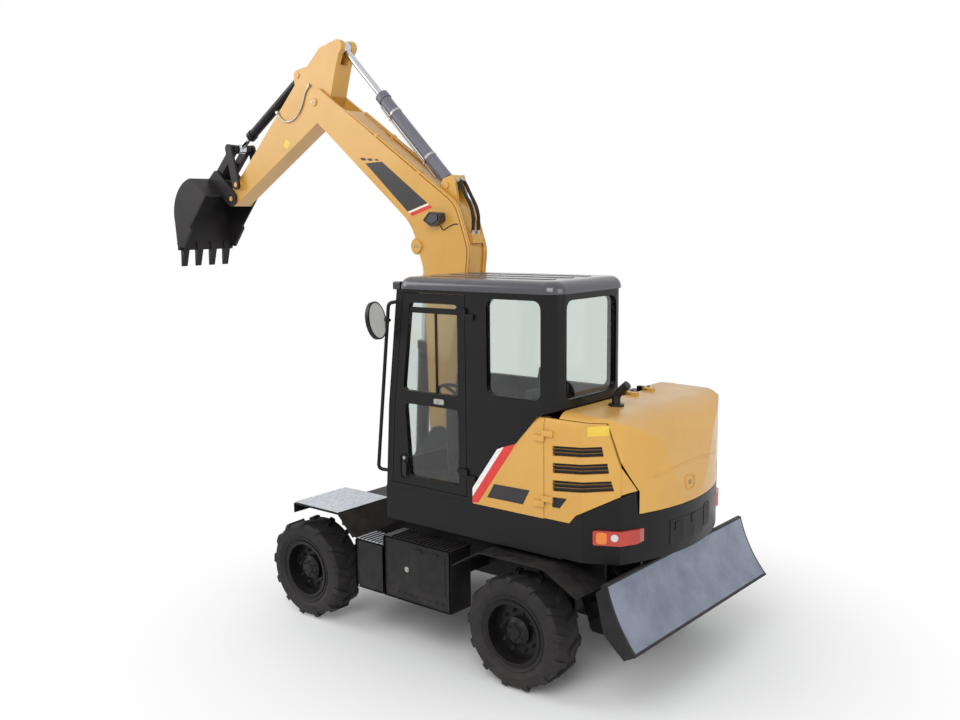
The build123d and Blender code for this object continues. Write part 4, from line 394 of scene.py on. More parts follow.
# Roof cap in black gloss enamel, mirrors the sky at a flat angle; its grey-blue base colour is partly a
# painted reflection of the sky, and the pale dust on its top faces is partly real dust, partly a painted
# reflection of the pale sky
ROOF = Coating("gloss_black_roof_enamel", "#3a3a42", "#33333b", grain_mm=3.0, bump=0.02, smooth=0.14,
               rough=0.24, coat=0.5, dust="#8a8781", dust_top=0.25)
# Black interior and trim plastic, moulded with a leather-like grain: soft and shineless
PLASTIC = Coating("grained_black_plastic", "#232223", "#2a292a", grain_mm=1.8, bump=0.12, sheen=DULL,
                  smooth=0.45, rough=0.6)
# Woven seat cloth: dark grey and matt, the weave drawn as a fine grain
CLOTH = Coating("woven_seat_cloth", "#3b3c41", "#46474c", cloud_mm=60, grain_mm=2.2, bump=0.35, smooth=0.8,
                rough=0.95)
# Cast aluminium engine: grey, oily, with a sandy skin
ENGINE = Coating("cast_aluminium", "#7d7e80", "#6a6b6d", grain_mm=5.0, bump=0.15, smooth=0.4, rough=0.6,
                 metallic=0.8)
# Exhaust steel browned by heat: dark with warm patches
EXHAUST = Coating("heat_dark_steel", "#242222", "#302b28", cloud_mm=60, smooth=0.34, rough=0.5, metallic=0.5)
# Moulded acrylic lenses: clear coat over colour, with fine ribs that break up the shine
LENS_RED = Coating("red_acrylic_lens", "#c2301f", "#a82618", grain_mm=6.0, bump=0.25, smooth=0.10, rough=0.18,
                   coat=0.6)
LENS_AMBER = replace(LENS_RED, name="amber_acrylic_lens", colour="#e8801e", shade="#d97216")
LENS_CLEAR = replace(LENS_RED, name="clear_acrylic_lens", colour="#d9d8d4", shade="#c9c8c4", smooth=0.08,
                     rough=0.16, coat=0.7)
LENS_SMOKED = replace(LENS_RED, name="smoked_acrylic_lens", colour="#3d3d43", shade="#35353b", bump=0.2,
                      rough=0.2)
# Glass-filled plastic of the lamp housings: black with a slight gloss
LAMP = Coating("lamp_housing_plastic", "#26252a", "#2e2d32", grain_mm=3.0, bump=0.05, smooth=0.24, rough=0.38,
               coat=0.2)
# Cast vinyl film of the stripes: flat colour with a faint sheen
FILM_BLACK = Coating("black_vinyl_film", "#221f1f", "#272424", cloud_mm=120, grain_mm=2.0, bump=0.02,
                     smooth=0.3, rough=0.4)
FILM_WHITE = replace(FILM_BLACK, name="white_vinyl_film", colour="#f0efec", shade="#e7e6e3")
FILM_RED = replace(FILM_BLACK, name="red_vinyl_film", colour="#dd3a35", shade="#d2322d")
FILM_YELLOW = replace(FILM_BLACK, name="yellow_vinyl_film", colour="#ecc94e", shade="#e2be45")
# Extruded rubber of gaskets and hoses: matt black
GASKET = Coating("extruded_black_rubber", "#1b1a1b", "#222122", cloud_mm=90, grain_mm=2.0, bump=0.06,
                 sheen=DULL, smooth=0.45, rough=0.62)
# Perforated dark sheet behind the louvres, its holes drawn as a coarse grain
GRILLE = Coating("perforated_dark_sheet", "#2b2826", "#1c1a19", cloud_mm=7, grain_mm=7.0, bump=0.6,
                 smooth=0.35, rough=0.5, metallic=0.4)
# Bare rolled aluminium chequer plate on steps and fenders: scuffed, slightly dusty; its pale blue-white base
# colour is the metal's own grey lifted by a painted highlight of the sky
CHEQUER = Coating("rolled_chequer_plate", "#dde1e8", "#c6cad2", cloud_mm=30, grain_mm=3.0, bump=0.1,
                  smooth=0.3, rough=0.48, metallic=0.3, dust="#8d8780", dust_top=0.12)
# Silvered mirror glass whose pale base colour is a painted reflection of the pale sky, so that it stays pale
SILVER = Coating("dusty_mirror_glass", "#dfe0da", "#d3d5cf", cloud_mm=200, grain_mm=20.0, bump=0.0,
                 smooth=0.10, rough=0.22, metallic=0.25)
# Tinted float glass of the cab: clear with a green-grey cast and faint smears
GLASS = Glazing("tinted_cab_glass", "#e3e8e5")

CORNERS = ("front_left", "front_right", "rear_left", "rear_right")
FINISH_NODES: tuple[tuple[Finish, str], ...] = (
    (CHASSIS, "knuckle_left knuckle_right tie_rod front_axle rear_axle chassis_frame step_boxes"),
    (CHASSIS, "front_fenders rear_fenders tie_down_lugs blade blade_arms blade_links blade_cylinder_barrel"),
    (CHROME, "blade_cylinder_rod boom_cylinder_rod arm_cylinder_rod bucket_cylinder_rod"),
    (YELLOW, "left_front_cover engine_door rear_hood right_cover right_tail_panel boom arm boom_pipes"),
    (BLACK, "deck_frame cab_shell cab_door grab_rail_mirror boom_cylinder_barrel bucket_cylinder_barrel"),
    (BLACK, " ".join(f"wheel_{place}" for place in CORNERS)),
    (RUBBER, " ".join(f"tyre_{place}" for place in CORNERS)),
    (BUCKET, "rocker_levers bucket_link bucket"),
    (CASTING, "counterweight"),
    (ENGINE, "engine_block"),
    (EXHAUST, "exhaust_outlet"),
    (GLASS, "cab_glass door_glass"),
    (ROOF, "cab_roof"),
    (CLOTH, "seat"),
    (PLASTIC, "cab_controls"),
    (LENS_RED, "tail_lamps"),
    (LAMP, "roof_lamps boom_lamp"),
    (GASKET, "boom_hoses lamp_cable"),
    (ZINC, "arm_pipe"),
    (BARREL_GREY, "arm_cylinder_barrel"),
)
NODE_FINISHES = {name: finish for finish, names in FINISH_NODES for name in names.split()}


def grow(shape: Shape, faces: Sequence[bmesh.types.BMFace], move: Vector) -> None:
    """Gives faces a thickness.

    Args:
        shape: Bmesh that holds them.
        faces: Faces to extrude.
        move: How far and which way their copy goes.
    """
    grown = bmesh.ops.extrude_face_region(shape, geom=faces)
    moved = [item for item in grown["geom"] if isinstance(item, bmesh.types.BMVert)]
    bmesh.ops.translate(shape, verts=moved, vec=move)


def slab(corners: Sequence[Vector], out: Vector, thick: float, soften: float = 0.0) -> Shape:
    """A plate grown from one face.

    Args:
        corners: Corners of the face in order.
        out: Direction of the thickness.
        thick: Thickness in metres.
        soften: Edge round in metres.

    Returns:
        The plate.
    """
    shape = bmesh.new()
    face = shape.faces.new([shape.verts.new(corner) for corner in corners])
    grow(shape, [face], out.normalized() * thick)
    bmesh.ops.recalc_face_normals(shape, faces=shape.faces)
    if soften:
        bmesh.ops.bevel(
            shape, geom=shape.edges[:], offset=soften, affect="EDGES", segments=2, profile=0.5, material=-1
        )
    return shape


def rod(shape: Shape, start: Vector, end: Vector, radius: float, sides: int, taper: float = 1.0) -> None:
    """Adds a round or hexagonal rod between two points.

    Args:
        shape: Bmesh to add to.
        start: First end.
        end: Second end.
        radius: Radius at the first end.
        sides: Number of sides.
        taper: Radius at the second end over the first.
    """
    run = end - start
    place = Matrix.Translation((start + end) / 2) @ run.to_track_quat("Z", "Y").to_matrix().to_4x4()
    bmesh.ops.create_cone(
        shape, cap_ends=True, segments=sides, radius1=radius, radius2=radius * taper, depth=run.length,
        matrix=place,
    )


def bolt(shape: Shape, place: Vector, out: Vector, size: float) -> None:
    """Adds a hexagon bolt head on its washer.

    Args:
        shape: Bmesh to add to.
        place: Middle of the washer's seat.
        out: Direction of the head.
        size: Width over the head.
    """
    way = out.normalized()
    seat, top = place + way * size * 0.15, place + way * size * 0.62
    rod(shape, place, seat, size * 0.75, 14)
    rod(shape, seat, top, size * 0.5, 6, 0.92)


def join(target: Shape, source: Shape) -> None:
    """Adds one bmesh to another and frees it.

    Args:
        target: Bmesh that grows.
        source: Bmesh that is taken up.
    """
    carrier = bpy.data.meshes.new("carrier")
    source.to_mesh(carrier)
    source.free()
    target.from_mesh(carrier)
    bpy.data.meshes.remove(carrier)


def lathe(profile: Outline, centre: Vector, axle: Vector, steps: int) -> Shape:
    """A turned shape round an axle.

    Args:
        profile: Pairs of place along the axle and radius.
        centre: Zero of the axle.
        axle: Direction of the axle.
        steps: Steps of the full turn.

    Returns:
        The turned shape.
    """
    shape = bmesh.new()
    way = axle.normalized()
    across = way.orthogonal().normalized()
    points = [shape.verts.new(centre + way * along + across * radius) for along, radius in profile]
    edges = [shape.edges.new(pair) for pair in zip(points, points[1:])]
    bmesh.ops.spin(
        shape, geom=points + edges, cent=centre, axis=way, angle=math.tau, steps=steps, use_merge=True
    )
    bmesh.ops.remove_doubles(shape, verts=shape.verts, dist=WELD)
    bmesh.ops.recalc_face_normals(shape, faces=shape.faces)
    return shape


def oblong(low: Point, high: Point) -> list[Point]:
    """Corners of a rectangle, counter-clockwise from the lowest."""
    return [low, (high[0], low[1]), high, (low[0], high[1])]


def rounded(low: Point, high: Point, radius: float, steps: int = 4) -> list[Point]:
    """Outline of a rectangle with round corners.

    Args:
        low: Lowest corner.
        high: Highest corner.
        radius: Corner radius.
        steps: Steps of each corner.

    Returns:
        The outline, counter-clockwise.
    """
    outline = []
    inner_low, inner_high = (low[0] + radius, low[1] + radius), (high[0] - radius, high[1] - radius)
    left_low, right_low, right_high, left_high = oblong(inner_low, inner_high)
    for quarter, (across, rise) in enumerate((right_high, left_high, left_low, right_low)):
        for step in range(steps + 1):
            turn = math.radians(90 * (quarter + step / steps))
            outline.append((across + radius * math.cos(turn), rise + radius * math.sin(turn)))
    return outline


def mix(first: Point, last: Point, share: float) -> Point:
    """Point that lies a share of the way from first to last."""
    return first[0] + (last[0] - first[0]) * share, first[1] + (last[1] - first[1]) * share


def bend_point(front: Point, rear: Point) -> Point:
    """Point at which a line along the engine door meets the door's bend."""
    return mix(front, rear, (FLANK_BEND[0] - front[0]) / (rear[0] - front[0]))


def on_flank(outline: Outline, sink: float = 0.0) -> list[Vector]:
    """Lays side view points on the engine door's outer face.

    Args:
        outline: Pairs of X and Z.
        sink: How far inside the face.

    Returns:
        The points.
    """
    points = []
    for x, z in outline:
        share = max(0.0, (x - FLANK_BEND[0]) / (FLANK_CORNER[0] - FLANK_BEND[0]))
        points.append(Vector((x, FLANK_BEND[1] + share * (FLANK_CORNER[1] - FLANK_BEND[1]) - sink, z)))
    return points


def tail_point(y: float, z: float, proud: float = 0.0) -> Vector:
    """Point of the round tail at y and z, moved out by proud."""
    radius = TAIL_RADIUS + proud
    return Vector((-math.sqrt(radius * radius - y * y), y, z))


def tail_out(y: float) -> Vector:
    """Direction off the round tail near y."""
    return Vector((-1, y / TAIL_RADIUS, 0))


def spoke(share: float) -> Vector:
    """Direction across an axle along Y, at a share of the full turn."""
    return Vector((math.cos(math.tau * share), 0, math.sin(math.tau * share)))


def line_ends(points: Sequence[Place]) -> list[tuple[Vector, Vector]]:
    """Both ends of a line, each with the direction into the line."""
    pairs = ((points[0], points[1]), (points[-1], points[-2]))
    return [(Vector(here), (Vector(there) - Vector(here)).normalized()) for here, there in pairs]


@dataclass(frozen=True)
class Panel:
    """Rectangle with round corners in a face's own axes, with its thickness and edge round."""

    low: Point
    high: Point
    radius: float
    thick: float
    soften: float = 0.0

    @property
    def outline(self) -> list[Point]:
        """Its outline, counter-clockwise."""
        return rounded(self.low, self.high, self.radius)


@dataclass(frozen=True)
class Stud:
    """Round or hexagonal rod that stands between two heights."""

    near: float
    far: float
    radius: float
    sides: int
    taper: float = 1.0

    def stand(self, shape: Shape, seat: Vector, out: Vector) -> None:
        """Adds the rod to a bmesh, on a seat and in a direction."""
        rod(shape, seat + out * self.near, seat + out * self.far, self.radius, self.sides, self.taper)


@dataclass(frozen=True)
class Face:
    """Flat place on the machine, with two axes in it and one off it, on which fittings are laid."""

    origin: Vector
    along: Vector
    rise: Vector
    out: Vector

    def at(self, along: float, rise: float, proud: float = 0.0) -> Vector:
        """Point of the face, moved off it by proud."""
        return self.origin + self.along * along + self.rise * rise + self.out * proud

    def plate(self, outline: Outline, thick: float, soften: float = 0.0) -> Shape:
        """A plate with that outline, thickness and edge round."""
        return slab([self.at(*point) for point in outline], self.out, thick, soften)

    def frame(self, outline: Outline, width: float, thick: float) -> Shape:
        """A flat ring along an outline, such as a gasket.

        Args:
            outline: Its outer edge in order.
            width: Width of the ring, inwards.
            thick: Thickness in metres.

        Returns:
            The ring.
        """
        shape = bmesh.new()
        face = shape.faces.new([shape.verts.new(self.at(*point)) for point in outline])
        bmesh.ops.inset_region(shape, faces=[face], thickness=width, use_boundary=True, use_even_offset=True)
        bmesh.ops.delete(shape, geom=[face], context="FACES_ONLY")
        grow(shape, shape.faces[:], self.out.normalized() * thick)
        return shape

    def lay(self, panel: Panel) -> Shape:
        """A plate made from a panel's measures."""
        return self.plate(panel.outline, panel.thick, panel.soften)

    def stud(self, shape: Shape, point: Point, *stack: Stud) -> None:
        """Adds studs that stand on one point of the face."""
        for stud in stack:
            stud.stand(shape, self.at(*point), self.out)


def side_face(y: float, side: Side = Side.LEFT) -> Face:
    """Face at y with axes X and Z, looking to that side."""
    return Face(ACROSS * y, AHEAD, UP, ACROSS * side.value)


def rear_face(x: float) -> Face:
    """Face at x with axes Y and Z, looking back."""
    return Face(AHEAD * x, ACROSS, UP, -AHEAD)


def top_face(z: float) -> Face:
    """Face at z with axes X and Y, looking up."""
    return Face(UP * z, AHEAD, ACROSS, UP)


class Skin:
    """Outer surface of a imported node, met by looking at it from behind."""

    def __init__(self, node: str) -> None:
        """Builds the search tree of the node's mesh.

        Args:
            node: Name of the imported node.
        """
        mesh = bpy.data.objects[node].data
        corners = [vert.co for vert in mesh.vertices]
        self.tree = BVHTree.FromPolygons(corners, [face.vertices[:] for face in mesh.polygons])

    def at(self, y: float, z: float, proud: float = 0.0) -> Vector:
        """Point of the surface at y and z, moved off it by proud."""
        place, normal, _, _ = self.tree.ray_cast(Vector((BEHIND, y, z)), AHEAD)
        return place + normal * proud


class Workshop:
    """Keeps one material per finish and makes objects from bmeshes and routes."""

    def __init__(self) -> None:
        """Starts with no material made."""
        self.made: dict[str, bpy.types.Material] = {}

    def finish(self, finish: Finish) -> bpy.types.Material:
        """The material of a finish, built once.

        Args:
            finish: Finish to build.

        Returns:
            Its material.
        """
        if finish.name not in self.made:
            self.made[finish.name] = finish.material()
        return self.made[finish.name]

    def dress(self, nodes: dict[str, Thing]) -> None:
        """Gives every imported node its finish.

        Args:
            nodes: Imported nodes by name.
        """
        for name, node in nodes.items():
            node.data.materials.clear()
            node.data.materials.append(self.finish(NODE_FINISHES[name]))

    def piece(
        self, name: str, shape: Shape, finish: Finish, body: str, slot: str, smooth: bool = False
    ) -> Thing:
        """Turns a bmesh into an object that rides on a body.

        Args:
            name: Name of the piece.
            shape: Its bmesh, freed here.
            finish: Its finish.
            body: Body it rides on.
            slot: Material slot of the record; not used.
            smooth: Whether its faces shade smooth.

        Returns:
            The new object.
        """
        mesh = bpy.data.meshes.new(name)
        bmesh.ops.recalc_face_normals(shape, faces=shape.faces)
        for face in shape.faces:
            face.smooth = smooth
        shape.to_mesh(mesh)
        shape.free()
        mesh.materials.append(self.finish(finish))
        return self.ride(bpy.data.objects.new(name, mesh), body)

    def route(
        self, name: str, points: Sequence[Place], radius: float, finish: Finish, body: str, slot: str
    ) -> Thing:
        """A smooth round line through a run of points.

        Args:
            name: Name of the piece.
            points: Control points of its line.
            radius: Radius of the line.
            finish: Its finish.
            body: Body it rides on.
            slot: Material slot of the record; not used.

        Returns:
            The curve object.
        """
        data = bpy.data.curves.new(name, "CURVE")
        data.dimensions = "3D"
        data.bevel_depth = radius
        data.bevel_resolution = 3
        data.resolution_u = 10
        data.use_fill_caps = True
        spline = data.splines.new("NURBS")
        spline.points.add(len(points) - 1)
        for control, point in zip(spline.points, points):
            control.co = (*point, 1.0)
        spline.order_u = 3
        spline.use_endpoint_u = True
        data.materials.append(self.finish(finish))
        return self.ride(bpy.data.objects.new(name, data), body)

    def ride(self, thing: Thing, body: str) -> Thing:
        """Links an object and lets it ride on a body.

        Args:
            thing: Object to link.
            body: Body it rides on.

        Returns:
            The same object.
        """
        bpy.context.scene.collection.objects.link(thing)
        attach(thing, body)
        LOG.info("%s rides on %s", thing.name, body)
        return thing


@dataclass
class Livery:
    """Plain stripes, bands and blank plates on boom, covers and arm, as outlines in the side view."""

    shop: Workshop
    film: float = 0.0012
    stripe: float = 0.0024
    sheet: float = 0.004
    band: Outline = ((1.816, 3.814), (1.613, 3.819), (1.087, 3.449), (1.317, 3.382))
    # Near and far edge of each stripe, down the boom from the band
    stripes: tuple[tuple[str, Coating, float, float], ...] = (
        ("white", FILM_WHITE, 0.006, 0.024),
        ("red", FILM_RED, 0.028, 0.068),
    )
    # First and last share of the band's width, then near and far edge up the boom
    squares: tuple[tuple[float, float, float, float], ...] = (
        (0.0, 0.27, 0.045, 0.085),
        (0.36, 0.60, 0.03, 0.065),
        (0.72, 0.92, 0.02, 0.045),
    )
    sheet_y: float = 0.8195
    film_y: float = 0.8222
    front_plate: Outline = (
        (-0.158, 1.256), (-0.160, 1.370), (-0.389, 1.689), (-0.555, 1.751), (-0.747, 1.966)
    )
    white: Outline = ((-0.389, 1.689), (-0.450, 1.715), (-0.160, 1.307), (-0.160, 1.370))
    red: Outline = ((-0.450, 1.715), (-0.555, 1.751), (-0.212, 1.270), (-0.160, 1.261), (-0.160, 1.307))
    label: Outline = ((-0.359, 1.431), (-0.672, 1.435), (-0.613, 1.324), (-0.295, 1.323))
    door_plate: Outline = ((-1.132, 1.872), (-1.258, 1.884), (-1.258, 1.950), (-1.132, 1.938))
    arm_plate: Outline = ((2.955, 4.030), (2.890, 4.000), (2.850, 4.062), (2.912, 4.092))

    def build(self) -> None:
        """Lays films on both boom sides and on the covers."""
        for side in Side:
            self.boom_band(side)
        self.cover_stripe()
        self.blank_plates()

    def boom_band(self, side: Side) -> None:
        """Black band with a white and a red stripe below it and three squares above.

        Args:
            side: Side of the boom.
        """
        face = side_face(GEAR_Y + side.value * BOOM_HALF, side)
        top, top_end, low_end, low = (Vector(corner) for corner in self.band)
        down = (low_end - top_end).normalized()
        black = face.plate(self.band, self.film)
        self.shop.piece(f"boom_band_{side.tag}", black, FILM_BLACK, "boom", "black_paint")
        for name, finish, near, far in self.stripes:
            outline = [low_end + down * near, low + down * near, low + down * far, low_end + down * far]
            colour = face.plate(outline, self.film)
            self.shop.piece(f"boom_stripe_{name}_{side.tag}", colour, finish, "boom", "lamp_red")
        squares = bmesh.new()
        wide = top_end - top
        for first, last, near, far in self.squares:
            start, stop = top + wide * first, top + wide * last
            outline = [start - down * near, stop - down * near, stop - down * far, start - down * far]
            join(squares, face.plate(outline, self.film))
        self.shop.piece(f"boom_squares_{side.tag}", squares, FILM_BLACK, "boom", "black_paint")

    def cover_stripe(self) -> None:
        """Plate over the cab's wall with a white and a red stripe, and a blank black label behind them."""
        inner, outer = side_face(self.sheet_y), side_face(self.film_y)
        for name, face, outline, thick, finish, slot in (
            ("cover_front_plate", inner, self.front_plate, self.sheet, YELLOW, "yellow"),
            ("cover_stripe_white", outer, self.white, self.stripe, FILM_WHITE, "yellow"),
            ("cover_stripe_red", outer, self.red, self.stripe, FILM_RED, "lamp_red"),
            ("cover_label_blank", outer, self.label, self.film, FILM_BLACK, "black_paint"),
        ):
            self.shop.piece(name, face.plate(outline, thick), finish, "upper", slot)

    def blank_plates(self) -> None:
        """Blank yellow plates on the engine door and the arm."""
        door = slab(on_flank(self.door_plate), FLANK_OUT, self.film)
        self.shop.piece("door_plate_blank", door, FILM_YELLOW, "engine_door", "yellow")
        arm = side_face(GEAR_Y + ARM_HALF).plate(self.arm_plate, self.film)
        self.shop.piece("arm_plate_blank", arm, FILM_YELLOW, "arm", "yellow")


@dataclass
class WheelTrim:
    """Hub caps, nuts and sidewall ribs of the four wheels."""

    shop: Workshop
    track: float = 1.67
    front_x: float = 1.55
    rear_x: float = -0.62
    axle_z: float = 0.415
    disc_y: float = 0.042
    nuts: int = 10
    nut_circle: float = 0.145
    washer: Stud = Stud(0.0, 0.005, 0.017, 14)
    nut: Stud = Stud(0.005, 0.021, 0.0135, 6, 0.94)
    nut_end: Stud = Stud(0.021, 0.031, 0.0075, 10, 0.8)
    cap: Outline = (
        (0.094, 0.0), (0.104, 0.0), (0.1045, 0.030), (0.101, 0.044), (0.0945, 0.047), (0.094, 0.047)
    )
    cap_bolts: int = 6
    cap_circle: float = 0.060
    cap_seat: float = 0.0945
    bolt_size: float = 0.014
    # Sidewall place, radius and height of each rib
    ribs: tuple[Place, ...] = (
        (0.1499, 0.318, 0.004),
        (0.1486, 0.345, 0.003),
        (0.1430, 0.268, 0.004),
    )
    rib_sink: float = 0.006
    rib_foot: float = 0.005
    rib_top: float = 0.003
    rib_wear: float = 0.0015

    def build(self) -> None:
        """Dresses each wheel."""
        for place in CORNERS:
            hand = 1 if place.endswith("left") else -1
            x = self.front_x if place.startswith("front") else self.rear_x
            self.wheel(place, Vector((x, hand * self.track / 2, self.axle_z)), ACROSS * hand)

    def wheel(self, place: str, centre: Vector, out: Vector) -> None:
        """Trim of one wheel.

        Args:
            place: Corner of the machine.
            centre: Middle of the wheel.
            out: Outboard direction.
        """
        body = f"wheel_{place}"
        nuts = bmesh.new()
        for number in range(self.nuts):
            seat = centre + out * self.disc_y + spoke(number / self.nuts) * self.nut_circle
            for stud in (self.washer, self.nut, self.nut_end):
                stud.stand(nuts, seat, out)
        self.shop.piece(f"{body}_nuts", nuts, CHASSIS, body, "rim")
        cap = lathe(self.cap, centre, out, 32)
        for number in range(self.cap_bolts):
            arm = spoke((number + 0.5) / self.cap_bolts) * self.cap_circle
            bolt(cap, centre + out * self.cap_seat + arm, out, self.bolt_size)
        self.shop.piece(f"{body}_cap", cap, BLACK, body, "rim")
        ribs = bmesh.new()
        for wall, radius, proud in self.ribs:
            root, crest = wall - self.rib_sink, wall + proud - self.rib_wear
            inner = ((root, radius - self.rib_foot), (crest, radius - self.rib_top))
            profile = (*inner, (crest, radius + self.rib_top), (root, radius + self.rib_foot))
            for way in (out, -out):
                join(ribs, lathe(profile, centre, way, 72))
        self.shop.piece(f"tyre_{place}_ribs", ribs, RUBBER, body, "tyre", True)


@dataclass
class BladeTrim:
    """Face of the dozer blade between its black edges, rubbed bright, its colour holding a painted highlight.
    """

    shop: Workshop
    end: float = 0.016
    lip: float = 0.016
    rim: float = 0.014
    skin: float = 0.0008
    facing: float = -0.3

    def build(self) -> None:
        """Lays a thin skin on the blade's hollow face."""
        shape = bmesh.new()
        shape.from_mesh(bpy.data.objects["blade"].data)
        bmesh.ops.remove_doubles(shape, verts=shape.verts, dist=WELD)
        half = max(vert.co.y for vert in shape.verts) - self.end
        front = min(vert.co.x for vert in shape.verts)
        low = max(vert.co.z for vert in shape.verts if vert.co.x < front + self.skin) + self.lip
        high = max(vert.co.z for vert in shape.verts) - self.rim
        for place, way in ((half, ACROSS), (-half, ACROSS), (low, UP), (high, UP)):
            whole = shape.verts[:] + shape.edges[:] + shape.faces[:]
            bmesh.ops.bisect_plane(shape, geom=whole, dist=1e-6, plane_co=way * place, plane_no=way)
        shape.normal_update()
        spare = []
        for face in shape.faces:
            middle = face.calc_center_median()
            if face.normal.x > self.facing or abs(middle.y) > half or not low < middle.z < high:
                spare.append(face)
        bmesh.ops.delete(shape, geom=spare, context="FACES")
        grow(shape, shape.faces[:], -AHEAD * self.skin)
        self.shop.piece("blade_face", shape, BLADE, "blade", "blade")


@dataclass
class StepTrim:
    """Anti-slip ridges, chequer plates and locks of the step boxes and fenders."""

    shop: Workshop
    box_y: float = 0.938
    inner_y: float = 0.705
    # First place, count and height of the ridges on the box top and on the lower step
    ridge_rows: tuple[tuple[float, int, float], ...] = ((0.0, 15, 0.886), (0.672, 7, 0.800))
    ridge_pitch: float = 0.040
    ridge_width: float = 0.010
    ridge_high: float = 0.009
    ridge_round: float = 0.002
    ridge_inset: Point = (0.012, 0.008)
    # Lowest corner, highest corner and height of the plates on the fender and on the lower step
    plate_places: tuple[tuple[Point, Point, float], ...] = (
        ((1.156, 0.348), (1.683, 0.944), 0.973),
        ((0.655, 0.710), (0.955, 0.934), 0.800),
    )
    plate_round: float = 0.01
    plate_thick: float = 0.0015
    stud_rows: int = 13
    stud_columns: int = 15
    stud_first: Point = (1.175, 0.372)
    stud_pitch: Point = (0.036, 0.044)
    stud_half: float = 0.013
    stud_slim: float = 0.28
    stud_lean: float = 0.5
    stud_z: float = 0.974
    stud_high: float = 0.0030
    box_rim: Panel = Panel((-0.030, 0.404), (0.640, 0.882), 0.008, 0.014)
    box_rim_width: float = 0.030
    step_rim: Panel = Panel((0.656, 0.404), (0.955, 0.796), 0.008, 0.014)
    step_rim_width: float = 0.022
    box_panel: Panel = Panel((0.02, 0.52), (0.36, 0.83), 0.015, 0.004, 0.0015)
    boss: Stud = Stud(0.0, 0.006, 0.009, 12, 0.7)
    bosses: int = 9
    boss_first: Point = (0.05, 0.462)
    boss_pitch: float = 0.065
    front_hinge: Panel = Panel((0.25, 0.815), (0.31, 0.838), 0.006, 0.010)
    rear_hinge: Panel = Panel((0.09, 0.815), (0.15, 0.838), 0.006, 0.010)
    knob_at: Point = (0.40, 0.66)
    knob_seat: Stud = Stud(0.0, 0.010, 0.022, 24)
    knob: Stud = Stud(0.010, 0.016, 0.012, 20)

    def build(self) -> None:
        """Dresses both sides."""
        for side in Side:
            self.ridges(side)
            self.plates(side)
            self.locks(side)

    def ridges(self, side: Side) -> None:
        """Saw-tooth strips on the box top and the lower step.

        Args:
            side: Side of the machine.
        """
        strips = bmesh.new()
        inner, outer = self.inner_y + self.ridge_inset[0], self.box_y - self.ridge_inset[1]
        low, high = sorted((side.value * inner, side.value * outer))
        for start, count, z in self.ridge_rows:
            for number in range(count):
                x = start + self.ridge_pitch * number
                outline = oblong((x, low), (x + self.ridge_width, high))
                join(strips, top_face(z).plate(outline, self.ridge_high, self.ridge_round))
        self.shop.piece(f"step_ridges_{side.tag}", strips, CHASSIS, "chassis", "chassis")

    def plates(self, side: Side) -> None:
        """Chequer plate on the front fender's flat top and a plain one on the lower step.

        Args:
            side: Side of the machine.
        """
        studs = bmesh.new()
        for low, high, z in self.plate_places:
            outline = [(x, side.value * y) for x, y in rounded(low, high, self.plate_round)]
            join(studs, top_face(z).plate(outline, self.plate_thick))
        for row in range(self.stud_rows):
            for column in range(self.stud_columns):
                x = self.stud_first[0] + self.stud_pitch[0] * column
                middle = Vector((x, side.value * (self.stud_first[1] + self.stud_pitch[1] * row)))
                lean = self.stud_lean if (row + column) % 2 else -self.stud_lean
                way = Vector((math.cos(lean), math.sin(lean))) * self.stud_half
                cross = way.orthogonal() * self.stud_slim
                outline = [middle - way, middle + cross, middle + way, middle - cross]
                join(studs, top_face(self.stud_z).plate(outline, self.stud_high))
        self.shop.piece(f"fender_studs_{side.tag}", studs, CHEQUER, "chassis", "fender")

    def locks(self, side: Side) -> None:
        """Door rims, raised panel, bosses, hinges and lock on the outer face of the box.

        Args:
            side: Side of the machine.
        """
        face = side_face(side.value * self.box_y, side)
        door = face.frame(self.box_rim.outline, self.box_rim_width, self.box_rim.thick)
        join(door, face.frame(self.step_rim.outline, self.step_rim_width, self.step_rim.thick))
        for panel in (self.box_panel, self.front_hinge, self.rear_hinge):
            join(door, face.lay(panel))
        for number in range(self.bosses):
            face.stud(door, (self.boss_first[0] + self.boss_pitch * number, self.boss_first[1]), self.boss)
        knob = bmesh.new()
        face.stud(knob, self.knob_at, self.knob_seat, self.knob)
        self.shop.piece(f"box_lock_{side.tag}", knob, ZINC, "chassis", "chrome")
        self.shop.piece(f"box_fittings_{side.tag}", door, CHASSIS, "chassis", "chassis")


